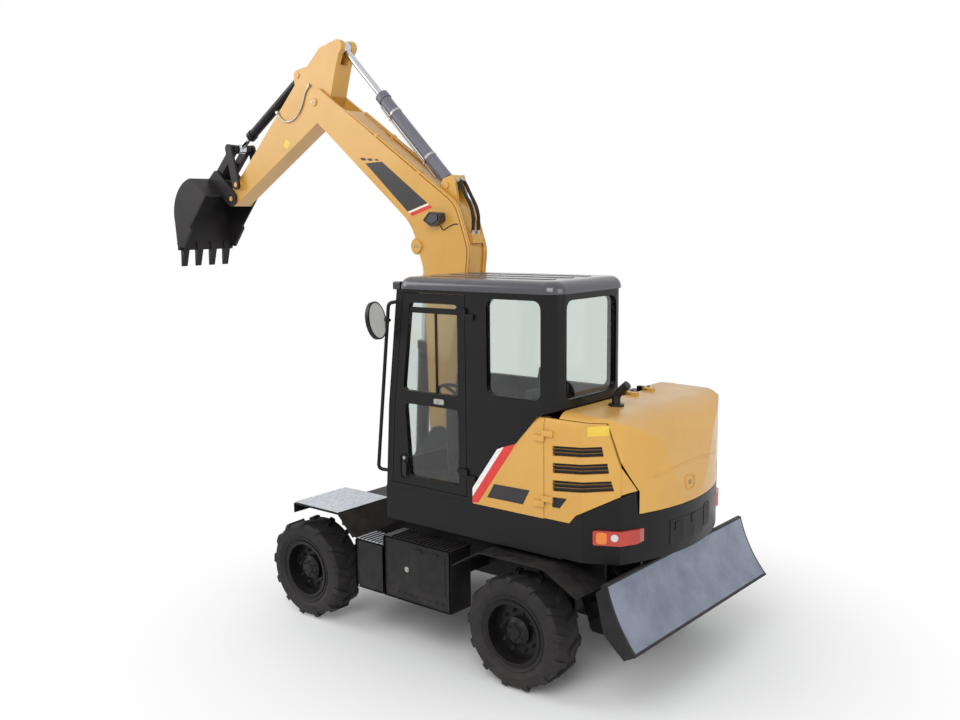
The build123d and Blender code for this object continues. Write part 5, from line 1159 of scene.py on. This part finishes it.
@dataclass
class CabTrim:
    """Gaskets, sash bars, latch, handle, lamp lenses, roof ribs and mirror glass of the cab."""

    shop: Workshop
    left: float = 0.82
    right: float = -0.06
    rear: float = -0.89
    middle: float = 0.38
    left_pane: Point = (-0.765, -0.30)
    right_pane: Point = (-0.765, 0.47)
    rear_pane: Point = (0.065, 0.695)
    pane_z: Point = (2.07, 2.755)
    pane_round: float = 0.06
    seal_width: float = 0.016
    seal_sink: float = 0.012
    seal_thick: float = 0.014
    sash: Outline = ((-0.03, 2.625), (0.462, 2.625), (0.457, 2.668), (-0.03, 2.668))
    sash_sink: float = 0.020
    sash_thick: float = 0.014
    sash_round: float = 0.003
    pane_edge: tuple[Point, Point] = ((0.175, 2.032), (0.195, 2.628))
    pane_edge_thick: float = 0.010
    pane_edge_round: float = 0.002
    latch: Panel = Panel((0.10, 1.955), (0.20, 1.995), 0.012, 0.010, 0.002)
    latch_at: Point = (0.165, 1.975)
    latch_knob: Stud = Stud(0.0, 0.020, 0.010, 16)
    grip: Panel = Panel((0.492, 1.352), (0.538, 1.470), 0.020, 0.012, 0.003)
    grip_rim: Panel = Panel((0.475, 1.335), (0.555, 1.530), 0.035, 0.006)
    grip_rim_width: float = 0.010
    lock_at: Point = (0.515, 1.500)
    lock: Stud = Stud(0.0, 0.009, 0.013, 20)
    mirror_at: Place = (0.68, 0.93, 2.56)
    mirror_half: Point = (0.084, 0.134)
    mirror_lean: float = 11.0
    mirror_back: float = 0.018
    mirror_thick: float = 0.002
    mirror_steps: int = 40
    lamp_x: float = 0.642
    lamp_apart: float = 0.35
    lamp_lens: Panel = Panel((-0.036, 2.796), (0.036, 2.840), 0.010, 0.003, 0.001)
    rib_z: float = 2.888
    rib_x: Point = (-0.72, 0.38)
    rib_half: float = 0.03
    rib_apart: float = 0.22
    rib_high: float = 0.004
    rib_round: float = 0.0015

    def build(self) -> None:
        """Dresses cab and door."""
        self.gaskets()
        self.door()
        self.mirror()
        self.roof()

    def gaskets(self) -> None:
        """Rubber seals round the fixed panes of the left, right and rear wall."""
        seals = bmesh.new()
        low, high = self.pane_z
        for face, (first, last) in (
            (side_face(self.left - self.seal_sink), self.left_pane),
            (side_face(self.right + self.seal_sink, Side.RIGHT), self.right_pane),
            (rear_face(self.rear + self.seal_sink), self.rear_pane),
        ):
            outline = rounded((first, low), (last, high), self.pane_round)
            join(seals, face.frame(outline, self.seal_width, self.seal_thick))
        self.shop.piece("cab_gaskets", seals, GASKET, "upper", "plastic")

    def door(self) -> None:
        """Sash bars, latch, handle and lock of the door."""
        pane, skin = side_face(self.left - self.sash_sink), side_face(self.left)
        sash = pane.plate(self.sash, self.sash_thick, self.sash_round)
        join(sash, pane.plate(oblong(*self.pane_edge), self.pane_edge_thick, self.pane_edge_round))
        self.shop.piece("door_sash_bars", sash, BLACK, "cab_door", "black_paint")
        latch = skin.lay(self.latch)
        skin.stud(latch, self.latch_at, self.latch_knob)
        self.shop.piece("door_latch", latch, ZINC, "cab_door", "chrome")
        grip = skin.frame(self.grip_rim.outline, self.grip_rim_width, self.grip_rim.thick)
        join(grip, skin.lay(self.grip))
        self.shop.piece("door_handle", grip, PLASTIC, "cab_door", "plastic")
        lock = bmesh.new()
        skin.stud(lock, self.lock_at, self.lock)
        self.shop.piece("door_lock", lock, ZINC, "cab_door", "chrome")

    def mirror(self) -> None:
        """Silvered glass on the oval mirror's rear face."""
        lean = math.radians(self.mirror_lean)
        ahead = Vector((math.cos(lean), 0, -math.sin(lean)))
        rise = Vector((math.sin(lean), 0, math.cos(lean)))
        face = Face(Vector(self.mirror_at) - ahead * self.mirror_back, ACROSS, rise, -ahead)
        turns = [math.tau * number / self.mirror_steps for number in range(self.mirror_steps)]
        wide, tall = self.mirror_half
        oval = [(wide * math.cos(turn), tall * math.sin(turn)) for turn in turns]
        self.shop.piece("mirror_glass", face.plate(oval, self.mirror_thick), SILVER, "upper", "chrome")

    def roof(self) -> None:
        """Lenses of the roof lamps and three ribs on the roof."""
        lens = bmesh.new()
        for side in Side:
            origin = Vector((self.lamp_x, self.middle + side.value * self.lamp_apart, 0))
            join(lens, Face(origin, ACROSS, UP, AHEAD).lay(self.lamp_lens))
        self.shop.piece("roof_lamp_lenses", lens, LENS_CLEAR, "upper", "lamp")
        ribs = bmesh.new()
        rear, front = self.rib_x
        for number in (-1, 0, 1):
            y = self.middle + number * self.rib_apart
            outline = oblong((rear, y - self.rib_half), (front, y + self.rib_half))
            join(ribs, top_face(self.rib_z).plate(outline, self.rib_high, self.rib_round))
        self.shop.piece("roof_ribs", ribs, ROOF, "upper", "roof")


@dataclass
class TailTrim:
    """Louvre sheets and slats, closing corners, lamp lenses, bumper plate and hood fittings of the tail."""

    shop: Workshop
    # Front top, rear top, rear low and front low corner of each louvre
    louvres: tuple[tuple[Point, Point, Point, Point], ...] = (
        ((-0.864, 1.781), (-1.216, 1.809), (-1.226, 1.737), (-0.867, 1.706)),
        ((-0.864, 1.662), (-1.247, 1.697), (-1.259, 1.622), (-0.867, 1.585)),
        ((-0.864, 1.542), (-1.270, 1.578), (-1.289, 1.504), (-0.867, 1.457)),
    )
    slots: int = 3
    slot_edge: float = 0.14
    slot_inset: float = 0.002
    # Depth of the sheets before and behind the door's bend
    sheet_sink: Point = (0.0215, 0.0245)
    sheet_thick: float = 0.002
    bar_half: float = 0.13
    bar_thick: float = 0.0015
    # Lower and upper edge of the closing corners, in the side view
    corner_low: Outline = ((-1.3275, 1.4805), (-1.356, 1.4900), (-1.383, 1.4965))
    corner_high: Outline = ((-1.3275, 1.6700), (-1.356, 1.5860), (-1.383, 1.4985))
    corner_in: Point = (0.88, -0.47)
    corner_thick: float = 0.020
    vent: Outline = ((-0.861, 1.420), (-0.982, 1.427), (-0.924, 1.350), (-0.864, 1.349))
    vent_thick: float = 0.002
    vent_round: float = 0.0006
    lamp: Place = (-1.213, 0.761, 1.185)
    lamp_depth: float = 0.018
    amber: Panel = Panel((-0.030, -0.040), (0.042, 0.040), 0.020, 0.006, 0.002)
    clear_at: Point = (0.092, 0.006)
    clear: Stud = Stud(0.0, 0.006, 0.026, 28, 0.94)
    plate_ends: Sequence[float] = (0.29, 0.145, 0.0, -0.145)
    plate_z: Point = (1.068, 1.241)
    plate_flare: float = 0.002
    plate_thick: float = 0.004
    slots_at: Outline = ((0.214, 1.190), (0.013, 1.205))
    slot_half: Point = (0.022, 0.03)
    slot_proud: float = 0.0045
    slot_thick: float = 0.002
    recess: Panel = Panel((-0.285, 1.095), (-0.165, 1.262), 0.03, 0.003)
    crease_half: float = 0.46
    crease_z: float = 1.612
    crease_sag: float = 0.16
    crease_steps: int = 20
    crease_lift: float = 0.001
    crease_radius: float = 0.006
    grip: Panel = Panel((-0.018, 1.420), (0.102, 1.512), 0.018, 0.003)
    grip_radius: float = 0.005
    lock_at: Point = (0.042, 1.466)
    lock_seat: Stud = Stud(-0.004, 0.010, 0.016, 20)
    lock: Stud = Stud(0.010, 0.013, 0.009, 16)

    def build(self) -> None:
        """Dresses tail, door and counterweight."""
        self.sheets()
        self.slats()
        self.tail_corners()
        self.corner_vent()
        self.lamps()
        self.bumper()
        self.hood()

    def sheets(self) -> None:
        """Dark perforated sheet on the floor of each louvre slot."""
        grille = bmesh.new()
        for front_top, rear_top, rear_low, front_low in self.louvres:
            for number in range(self.slots):
                front, rear = [], []
                for edge in (number + self.slot_edge, number + 1 - self.slot_edge):
                    x, z = mix(front_top, front_low, edge / self.slots)
                    front.append((x - self.slot_inset, z))
                    x, z = mix(rear_top, rear_low, edge / self.slots)
                    rear.append((x + self.slot_inset, z))
                turn = [bend_point(*pair) for pair in zip(front, rear)]
                for near, far, sink in zip((front, turn), (turn, rear), self.sheet_sink):
                    corners = on_flank((near[0], far[0], far[1], near[1]), sink)
                    join(grille, slab(corners, ACROSS, self.sheet_thick))
        self.shop.piece("louvre_sheets", grille, GRILLE, "engine_door", "black_paint")

    def slats(self) -> None:
        """Black facing on the two bars between the slots of each louvre."""
        bars = bmesh.new()
        for front_top, rear_top, rear_low, front_low in self.louvres:
            for number in range(1, self.slots):
                shares = [(number + shift) / self.slots for shift in (-self.bar_half, self.bar_half)]
                front = [mix(front_top, front_low, share) for share in shares]
                rear = [mix(rear_top, rear_low, share) for share in shares]
                turn = [bend_point(*pair) for pair in zip(front, rear)]
                for near, far in ((front, turn), (turn, rear)):
                    corners = on_flank((near[0], far[0], far[1], near[1]))
                    join(bars, slab(corners, ACROSS, self.bar_thick))
        self.shop.piece("louvre_slats", bars, PLASTIC, "engine_door", "plastic")

    def tail_corners(self) -> None:
        """Closes the corners between side panels and hood, on the engine door and on the right panel."""
        low, high = self.corner_low, self.corner_high
        for side, body in ((Side.LEFT, "engine_door"), (Side.RIGHT, "upper")):
            panel = bmesh.new()
            for number in range(len(low) - 1):
                corners = []
                for x, z in (low[number], low[number + 1], high[number + 1], high[number]):
                    corners.append(Vector((x, side.value * math.sqrt(TAIL_RADIUS**2 - x * x), z)))
                inward = Vector((self.corner_in[0], self.corner_in[1] * side.value, 0))
                join(panel, slab(corners, inward, self.corner_thick))
            self.shop.piece(f"tail_corner_{side.tag}", panel, YELLOW, body, "yellow")

    def corner_vent(self) -> None:
        """Small dark corner vent below the louvres."""
        vent = side_face(FLANK_BEND[1]).plate(self.vent, self.vent_thick, self.vent_round)
        self.shop.piece("corner_vent", vent, GRILLE, "engine_door", "black_paint")

    def lamps(self) -> None:
        """Amber and clear lenses on the red tail lamps."""
        for side in Side:
            hand = side.value
            out = Vector((FLANK_OUT.x, hand * FLANK_OUT.y, 0))
            run = Vector((-FLANK_OUT.y, hand * FLANK_OUT.x, 0))
            x, y, z = self.lamp
            face = Face(Vector((x, hand * y, z)) + out * self.lamp_depth, run, UP, out)
            amber = face.lay(self.amber)
            self.shop.piece(f"tail_lens_amber_{side.tag}", amber, LENS_AMBER, "upper", "lamp_red")
            clear = bmesh.new()
            face.stud(clear, self.clear_at, self.clear)
            self.shop.piece(f"tail_lens_clear_{side.tag}", clear, LENS_CLEAR, "upper", "lamp")

    def bumper(self) -> None:
        """Bumper plate with two dark slots on the round tail, and the tow recess beside it."""
        plate = bmesh.new()
        low, high = self.plate_z
        for first, last in zip(self.plate_ends, self.plate_ends[1:]):
            far = ((last, low - self.plate_flare), (last, high + self.plate_flare))
            corners = [tail_point(*place) for place in ((first, low), *far, (first, high))]
            join(plate, slab(corners, tail_out((first + last) / 2), self.plate_thick))
        self.shop.piece("rear_bumper_plate", plate, CHASSIS, "upper", "casting")
        dark = bmesh.new()
        wide, tall = self.slot_half
        for y, z in self.slots_at:
            outline = oblong((y - wide, z - tall), (y + wide, z + tall))
            corners = [tail_point(*place, self.slot_proud) for place in outline]
            join(dark, slab(corners, tail_out(y), self.slot_thick))
        middle = (self.recess.low[0] + self.recess.high[0]) / 2
        corners = [tail_point(*place) for place in self.recess.outline]
        join(dark, slab(corners, tail_out(middle), self.recess.thick))
        self.shop.piece("rear_slots", dark, GASKET, "upper", "plastic")

    def hood(self) -> None:
        """Raised crease, grip frame and lock on the hood's round tail."""
        skin = Skin("rear_hood")
        crease = []
        for number in range(self.crease_steps + 1):
            y = self.crease_half * (1 - 2 * number / self.crease_steps)
            crease.append(skin.at(y, self.crease_z - self.crease_sag * y * y, self.crease_lift))
        self.shop.route("hood_crease", crease, self.crease_radius, YELLOW, "rear_hood", "yellow")
        outline = self.grip.outline
        frame = [skin.at(y, z, self.grip.thick) for y, z in [*outline, outline[0]]]
        self.shop.route("hood_grip_frame", frame, self.grip_radius, YELLOW, "rear_hood", "yellow")
        lock = bmesh.new()
        for stud in (self.lock_seat, self.lock):
            start, end = (skin.at(*self.lock_at, proud) for proud in (stud.near, stud.far))
            rod(lock, start, end, stud.radius, stud.sides)
        self.shop.piece("hood_lock", lock, ZINC, "rear_hood", "chrome")


@dataclass
class GearTrim:
    """Hoses, cable, steel lines, fittings, lamp lens and pin bolts of the working gear."""

    shop: Workshop
    hose: float = 0.030
    cable: float = 0.008
    line: float = 0.018
    hose_apart: float = 0.035
    hose_crimp: Stud = Stud(0.0, 0.030, 0.0186, 18)
    hose_nut: Stud = Stud(0.030, 0.044, 0.0174, 6)
    line_nut: Stud = Stud(0.0, 0.026, 0.0165, 6)
    hose_run: Outline = (
        (0.676, 3.175), (0.658, 3.288), (0.680, 3.405), (0.752, 3.515), (0.805, 3.615), (0.843, 3.647)
    )
    cable_run: Outline = ((0.940, 3.255), (0.920, 3.208), (0.860, 3.245), (0.790, 3.272), (0.752, 3.268))
    # Points of the arm's steel line, from the pin at the boom's tip
    arm_run: Outline = (
        (0.075, 0.165), (0.120, 0.128), (0.150, 0.085), (0.170, 0.030), (0.200, -0.030), (0.255, -0.095),
        (0.330, -0.138), (0.417, -0.152), (0.480, -0.128), (0.530, -0.078), (0.560, -0.040),
    )
    lamp_rim: Outline = ((1.055, 3.308), (0.998, 3.362), (0.905, 3.353), (0.900, 3.303), (0.980, 3.266))
    lamp_lens: Outline = ((1.044, 3.308), (0.995, 3.353), (0.913, 3.345), (0.909, 3.306), (0.980, 3.275))
    lamp_depth: float = 0.080
    rim_width: float = 0.010
    rim_thick: float = 0.006
    lens_thick: float = 0.003
    cylinder_base: Point = (0.920, 3.595)
    cylinder_eye: Point = (2.180, 4.862)
    barrel_radius: float = 0.054
    # Place along the cylinder and distance off the barrel of the steel line's points
    cylinder_run: Outline = ((0.16, 0.014), (0.30, 0.014), (0.98, 0.014), (1.06, 0.010))
    clamp_places: Point = (0.34, 0.90)
    clamp: Outline = ((-0.012, 0.0545), (-0.012, 0.0585), (0.012, 0.0585), (0.012, 0.0545))
    clamp_block: Stud = Stud(0.056, 0.080, 0.014, 12)
    line_aside: float = 0.02
    tip_cap: float = 0.012
    boom_eye: Point = (1.215, 3.085)
    eye_cap: float = 0.016
    bolt_size: float = 0.014

    def build(self) -> None:
        """Dresses boom, arm and cylinders."""
        self.hoses()
        self.arm_line()
        self.lamp()
        self.cylinder_line()
        self.pins()

    def hoses(self) -> None:
        """Two pressure hoses with crimped ends, and the lamp cable."""
        for side in Side:
            y = GEAR_Y + side.value * self.hose_apart
            points = [(x, y, z) for x, z in self.hose_run]
            self.cord(f"boom_hose_{side.tag}", points, self.hose, "boom_hoses")
            ends = bmesh.new()
            for start, way in line_ends(points):
                self.hose_crimp.stand(ends, start, way)
                self.hose_nut.stand(ends, start, way)
            self.shop.piece(f"boom_hose_ends_{side.tag}", ends, ZINC, "boom", "chrome")
        y = GEAR_Y + BOOM_HALF + self.cable / 2
        self.cord("lamp_wire", [(x, y, z) for x, z in self.cable_run], self.cable, "lamp_cable")

    def cord(
        self, name: str, points: Sequence[Place], diameter: float, node: str
    ) -> None:
        """One cord on the boom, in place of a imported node.

        Args:
            name: Name of the piece.
            points: Control points of its line.
            diameter: Thickness in metres.
            node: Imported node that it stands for.
        """
        line = self.shop.route(name, points, diameter / 2, GASKET, "boom", "hose")
        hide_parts(node)

    def arm_line(self) -> None:
        """Bent steel pipe on the arm's left face, with a nut at each end."""
        face = side_face(GEAR_Y + ARM_HALF + self.line / 2)
        points = [face.at(TIP_PIN[0] + x, TIP_PIN[1] + z) for x, z in self.arm_run]
        line = self.shop.route("arm_steel_line", points, self.line / 2, ZINC, "arm", "chrome")
        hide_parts("arm_pipe")
        nuts = bmesh.new()
        for start, way in line_ends(points):
            self.line_nut.stand(nuts, start, way)
        self.shop.piece("arm_line_nuts", nuts, ZINC, "arm", "chrome")

    def lamp(self) -> None:
        """Lens and rim on the boom lamp's outer face."""
        face = side_face(GEAR_Y + BOOM_HALF + self.lamp_depth)
        rim = face.frame(self.lamp_rim, self.rim_width, self.rim_thick)
        self.shop.piece("boom_lamp_rim", rim, LAMP, "boom", "lamp")
        lens = face.plate(self.lamp_lens, self.lens_thick)
        self.shop.piece("boom_lamp_lens", lens, LENS_SMOKED, "boom", "lamp")

    def cylinder_line(self) -> None:
        """Steel line along the arm cylinder's barrel, held by two clamps."""
        body = "arm_cylinder_barrel"
        middle = side_face(GEAR_Y)
        base = middle.at(*self.cylinder_base)
        way = (middle.at(*self.cylinder_eye) - base).normalized()
        below = Face(base, way, Vector((way.z, 0, -way.x)), ACROSS)
        aside = self.line_aside
        points = [below.at(along, self.barrel_radius + off, aside) for along, off in self.cylinder_run]
        self.shop.route("arm_cylinder_line", points, self.line / 2, ZINC, body, "chrome")
        clamps = bmesh.new()
        for along in self.clamp_places:
            join(clamps, lathe(self.clamp, base + way * along, way, 40))
            self.clamp_block.stand(clamps, below.at(along, 0.0, aside), below.rise)
        self.shop.piece("arm_cylinder_clamps", clamps, ZINC, body, "chrome")

    def pins(self) -> None:
        """Keeper bolts on the pin caps that show."""
        for name, (x, z), cap in (
            ("boom_tip_bolts", TIP_PIN, self.tip_cap),
            ("boom_eye_bolts", self.boom_eye, self.eye_cap),
        ):
            heads = bmesh.new()
            for side in Side:
                face = side_face(GEAR_Y + side.value * (BOOM_HALF + cap), side)
                for shift in (-self.bolt_size, self.bolt_size):
                    bolt(heads, face.at(x + shift, z), face.out, self.bolt_size)
            self.shop.piece(name, heads, ZINC, "boom", "chrome")


@dataclass
class SeatPads:
    """Padded seat cushion, backrest and head pad on a dark pedestal."""

    shop: Workshop
    middle_y: float = 0.38
    seat_x: float = -0.26
    floor_z: float = 1.299
    pedestal: Panel = Panel((-0.14, -0.19), (0.14, 0.19), 0.03, 0.29, 0.004)
    back_lean: float = -13.0
    # Size, place ahead of the seat's middle and height over the floor of each pad
    cushion: tuple[Place, float, float] = ((0.46, 0.47, 0.115), 0.01, 0.352)
    backrest: tuple[Place, float, float] = ((0.115, 0.44, 0.40), -0.215, 0.60)
    head_pad: tuple[Place, float, float] = ((0.085, 0.27, 0.13), -0.287, 0.885)
    cuts: int = 15
    edge_thick: float = 0.62
    crown: float = 0.35
    draw_in: float = 0.035
    channel_at: float = 0.52
    channel_half: float = 0.06
    channel_deep: float = 0.07

    def build(self) -> None:
        """Builds the pads in place of the plain seat."""
        foot = Face(Vector((self.seat_x, self.middle_y, self.floor_z)), AHEAD, ACROSS, UP)
        pedestal = self.shop.piece("seat_pedestal", foot.lay(self.pedestal), PLASTIC, "upper", "plastic")
        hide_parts("seat")
        upright, lean = Matrix.Identity(4), Matrix.Rotation(math.radians(self.back_lean), 4, "Y")
        for name, (size, ahead, high), turn in (
            ("seat_cushion", self.cushion, upright),
            ("seat_backrest", self.backrest, lean),
            ("seat_head_pad", self.head_pad, lean),
        ):
            place = Vector((self.seat_x + ahead, self.middle_y, self.floor_z + high))
            self.pad(name, size, Matrix.Translation(place) @ turn)

    def pad(self, name: str, size: Place, place: Matrix) -> None:
        """One crowned pad with drawn-in sides and two sewn channels.

        Args:
            name: Name of the pad.
            size: Its size along its own axes.
            place: Where it sits.
        """
        shape = bmesh.new()
        bmesh.ops.create_cube(shape, size=1.0)
        bmesh.ops.subdivide_edges(shape, edges=shape.edges[:], cuts=self.cuts, use_grid_fill=True)
        thin = min(range(3), key=lambda axis: size[axis])
        wide = [axis for axis in range(3) if axis != thin]
        for vert in shape.verts:
            a, b = (2 * vert.co[axis] for axis in wide)
            crown = ((1 - a**4) * (1 - b**4)) ** self.crown
            vert.co[thin] *= self.edge_thick + (1 - self.edge_thick) * crown
            for axis, other in ((wide[0], b), (wide[1], a)):
                vert.co[axis] *= 1 - self.draw_in * (1 - other * other)
            off = abs(abs(2 * vert.co[wide[1]]) - self.channel_at)
            seam = min(off, self.channel_half) / self.channel_half
            vert.co[thin] *= 1 - self.channel_deep * (1 - seam)
        bmesh.ops.scale(shape, vec=size, verts=shape.verts)
        bmesh.ops.smooth_vert(
            shape, verts=shape.verts, factor=0.5, use_axis_x=True, use_axis_y=True, use_axis_z=True
        )
        bmesh.ops.transform(shape, matrix=place, verts=shape.verts)
        thing = self.shop.piece(name, shape, CLOTH, "upper", "fabric", True)
        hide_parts("seat")


@dataclass
class Studio:
    """Pale floor, soft lamps and the camera at the photograph's angle."""

    azimuth: float = 221.487
    elevation: float = 8.763
    roll: float = -1.01
    focal_px: float = 1023.56
    image_px: tuple[int, int] = (960, 720)
    centre_px: Point = (433.19, 377.18)
    place: Place = (-4.764, 6.442, 3.311)
    sensor_mm: float = 36.0
    floor_half: float = 60.0
    mottle_mm: float = 1250.0
    fade: Point = (1.0, 3.6)
    sky: float = 0.46
    target: Place = (0.6, 0.0, 1.6)
    # Name, place, edge length and watts of each soft box
    lamps: tuple[tuple[str, Place, float, float], ...] = (
        ("key", (-3.5, 9.0, 8.5), 7.0, 690.0),
        ("fill", (-10.0, 0.5, 5.5), 6.0, 240.0),
        ("front", (9.0, 5.0, 7.0), 6.0, 300.0),
    )

    def build(self) -> None:
        """Builds floor, world, lamps and camera."""
        self.floor()
        self.world()
        for row in self.lamps:
            self.lamp(*row)
        self.camera()

    def floor(self) -> None:
        """A wide pale floor that fades into the backdrop."""
        shape = bmesh.new()
        bmesh.ops.create_grid(shape, x_segments=1, y_segments=1, size=self.floor_half)
        mesh = bpy.data.meshes.new("studio_floor")
        shape.to_mesh(mesh)
        shape.free()
        # Painted studio floor: matt and nearly white, faintly mottled
        material, tree, surface = new_tree("pale_floor")
        place = add_node(tree, "ShaderNodeTexCoord").outputs["Object"]
        mottle = add_node(
            tree, "ShaderNodeTexNoise", links={"Vector": place},
            values={"Scale": per_metre(self.mottle_mm), "Detail": 5.0},
        ).outputs["Fac"]
        colour = add_node(
            tree, "ShaderNodeMix", {"data_type": "RGBA"}, links={SHARE: mottle},
            values={COLOUR_A: linear("#f6f6f5"), COLOUR_B: linear("#fafaf9")},
        ).outputs[COLOUR_OUT]
        shader = add_node(
            tree, "ShaderNodeBsdfPrincipled", values={"Roughness": 0.9}, links={"Base Color": colour}
        ).outputs["BSDF"]
        reach = add_node(
            tree, "ShaderNodeVectorMath", {"operation": "LENGTH"}, links={0: place}
        ).outputs["Value"]
        fade = add_node(
            tree, "ShaderNodeMapRange", {"interpolation_type": "SMOOTHSTEP"}, links={"Value": reach},
            values={"From Min": self.fade[0], "From Max": self.fade[1]},
        ).outputs["Result"]
        share = add_node(
            tree, "ShaderNodeMath", {"operation": "MULTIPLY"}, links={0: fade, 1: self.seen(tree)}
        ).outputs[0]
        white = add_node(tree, "ShaderNodeEmission", values={"Strength": 1.0}).outputs["Emission"]
        mixed = add_node(tree, "ShaderNodeMixShader", links={0: share, 1: shader, 2: white})
        tree.links.new(mixed.outputs["Shader"], surface)
        mesh.materials.append(material)
        floor = bpy.data.objects.new("studio_floor", mesh)
        bpy.context.scene.collection.objects.link(floor)

    def world(self) -> None:
        """Even pale sky, brighter overhead, behind a white backdrop."""
        world = bpy.data.worlds.new("studio_sky")
        bpy.context.scene.world = world
        world.use_nodes = True
        tree = world.node_tree
        tree.nodes.clear()
        place = add_node(tree, "ShaderNodeTexCoord").outputs["Generated"]
        height = add_node(tree, "ShaderNodeSeparateXYZ", links={"Vector": place}).outputs["Z"]
        shade = add_node(
            tree, "ShaderNodeMapRange", links={"Value": height}, values={"From Min": -0.1, "From Max": 0.8}
        ).outputs["Result"]
        colour = add_node(
            tree, "ShaderNodeMix", {"data_type": "RGBA"}, links={SHARE: shade},
            values={COLOUR_A: linear("#e4e4e2"), COLOUR_B: linear("#f4f7fb")},
        ).outputs[COLOUR_OUT]
        sky = add_node(
            tree, "ShaderNodeBackground", values={"Strength": self.sky}, links={"Color": colour}
        ).outputs["Background"]
        backdrop = add_node(
            tree, "ShaderNodeBackground", values={"Strength": 1.0, "Color": (1.0, 1.0, 1.0, 1.0)}
        ).outputs["Background"]
        mixed = add_node(tree, "ShaderNodeMixShader", links={0: self.seen(tree), 1: sky, 2: backdrop})
        surface = mixed.outputs["Shader"]
        add_node(tree, "ShaderNodeOutputWorld", {"is_active_output": True}, links={"Surface": surface})

    def seen(self, tree: Tree) -> Socket:
        """One for camera, mirror and see-through rays, so that they meet a white backdrop.

        Args:
            tree: Tree to add to.

        Returns:
            The largest of the three.
        """
        path = add_node(tree, "ShaderNodeLightPath").outputs
        largest = path["Is Camera Ray"]
        for ray in ("Is Glossy Ray", "Is Transmission Ray"):
            links = {0: largest, 1: path[ray]}
            largest = add_node(tree, "ShaderNodeMath", {"operation": "MAXIMUM"}, links=links).outputs[0]
        return largest

    def lamp(self, name: str, place: Place, size: float, power: float) -> None:
        """A square soft box that looks at the machine.

        Args:
            name: Name of the lamp.
            place: Where it hangs.
            size: Edge length in metres.
            power: Power in watts.
        """
        data = bpy.data.lights.new(f"softbox_{name}", "AREA")
        data.size = size
        data.energy = power
        lamp = bpy.data.objects.new(f"softbox_{name}", data)
        gaze = Vector(self.target) - Vector(place)
        lamp.matrix_world = Matrix.Translation(place) @ gaze.to_track_quat("-Z", "Y").to_matrix().to_4x4()
        bpy.context.scene.collection.objects.link(lamp)

    def camera(self) -> None:
        """The camera that was fitted to the photograph."""
        turn, lift, roll = (math.radians(a) for a in (self.azimuth, self.elevation, self.roll))
        back = Vector((math.sin(turn) * math.cos(lift), -math.cos(turn) * math.cos(lift), math.sin(lift)))
        right = Vector((math.cos(turn), math.sin(turn), 0.0))
        up = back.cross(right)
        right, up = right * math.cos(roll) + up * math.sin(roll), up * math.cos(roll) - right * math.sin(roll)
        width, height = self.image_px
        data = bpy.data.cameras.new("photo_camera")
        data.sensor_fit = "HORIZONTAL"
        data.sensor_width = self.sensor_mm
        data.lens = self.focal_px / width * data.sensor_width
        data.shift_x = (width / 2 - self.centre_px[0]) / width
        data.shift_y = (self.centre_px[1] - height / 2) / width
        camera = bpy.data.objects.new("photo_camera", data)
        camera.matrix_world = Matrix.Translation(self.place) @ Matrix((right, up, back)).transposed().to_4x4()
        bpy.context.scene.collection.objects.link(camera)
        bpy.context.scene.camera = camera


def main() -> None:
    """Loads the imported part, dresses it and sets the stage."""
    logging.basicConfig(level=logging.INFO)
    bpy.ops.wm.read_factory_settings(use_empty=True)
    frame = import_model()
    Studio().build()
    workshop = Workshop()
    workshop.dress(frame["nodes"])
    for assembly in (GearTrim, Livery, WheelTrim, BladeTrim, StepTrim, CabTrim, TailTrim, SeatPads):
        assembly(workshop).build()
        LOG.info("%s done", assembly.__name__)
    bpy.context.scene.view_settings.view_transform = "Standard"
    LOG.info("dressed %d nodes", len(frame["nodes"]))


if __name__ == "__main__":
    main()
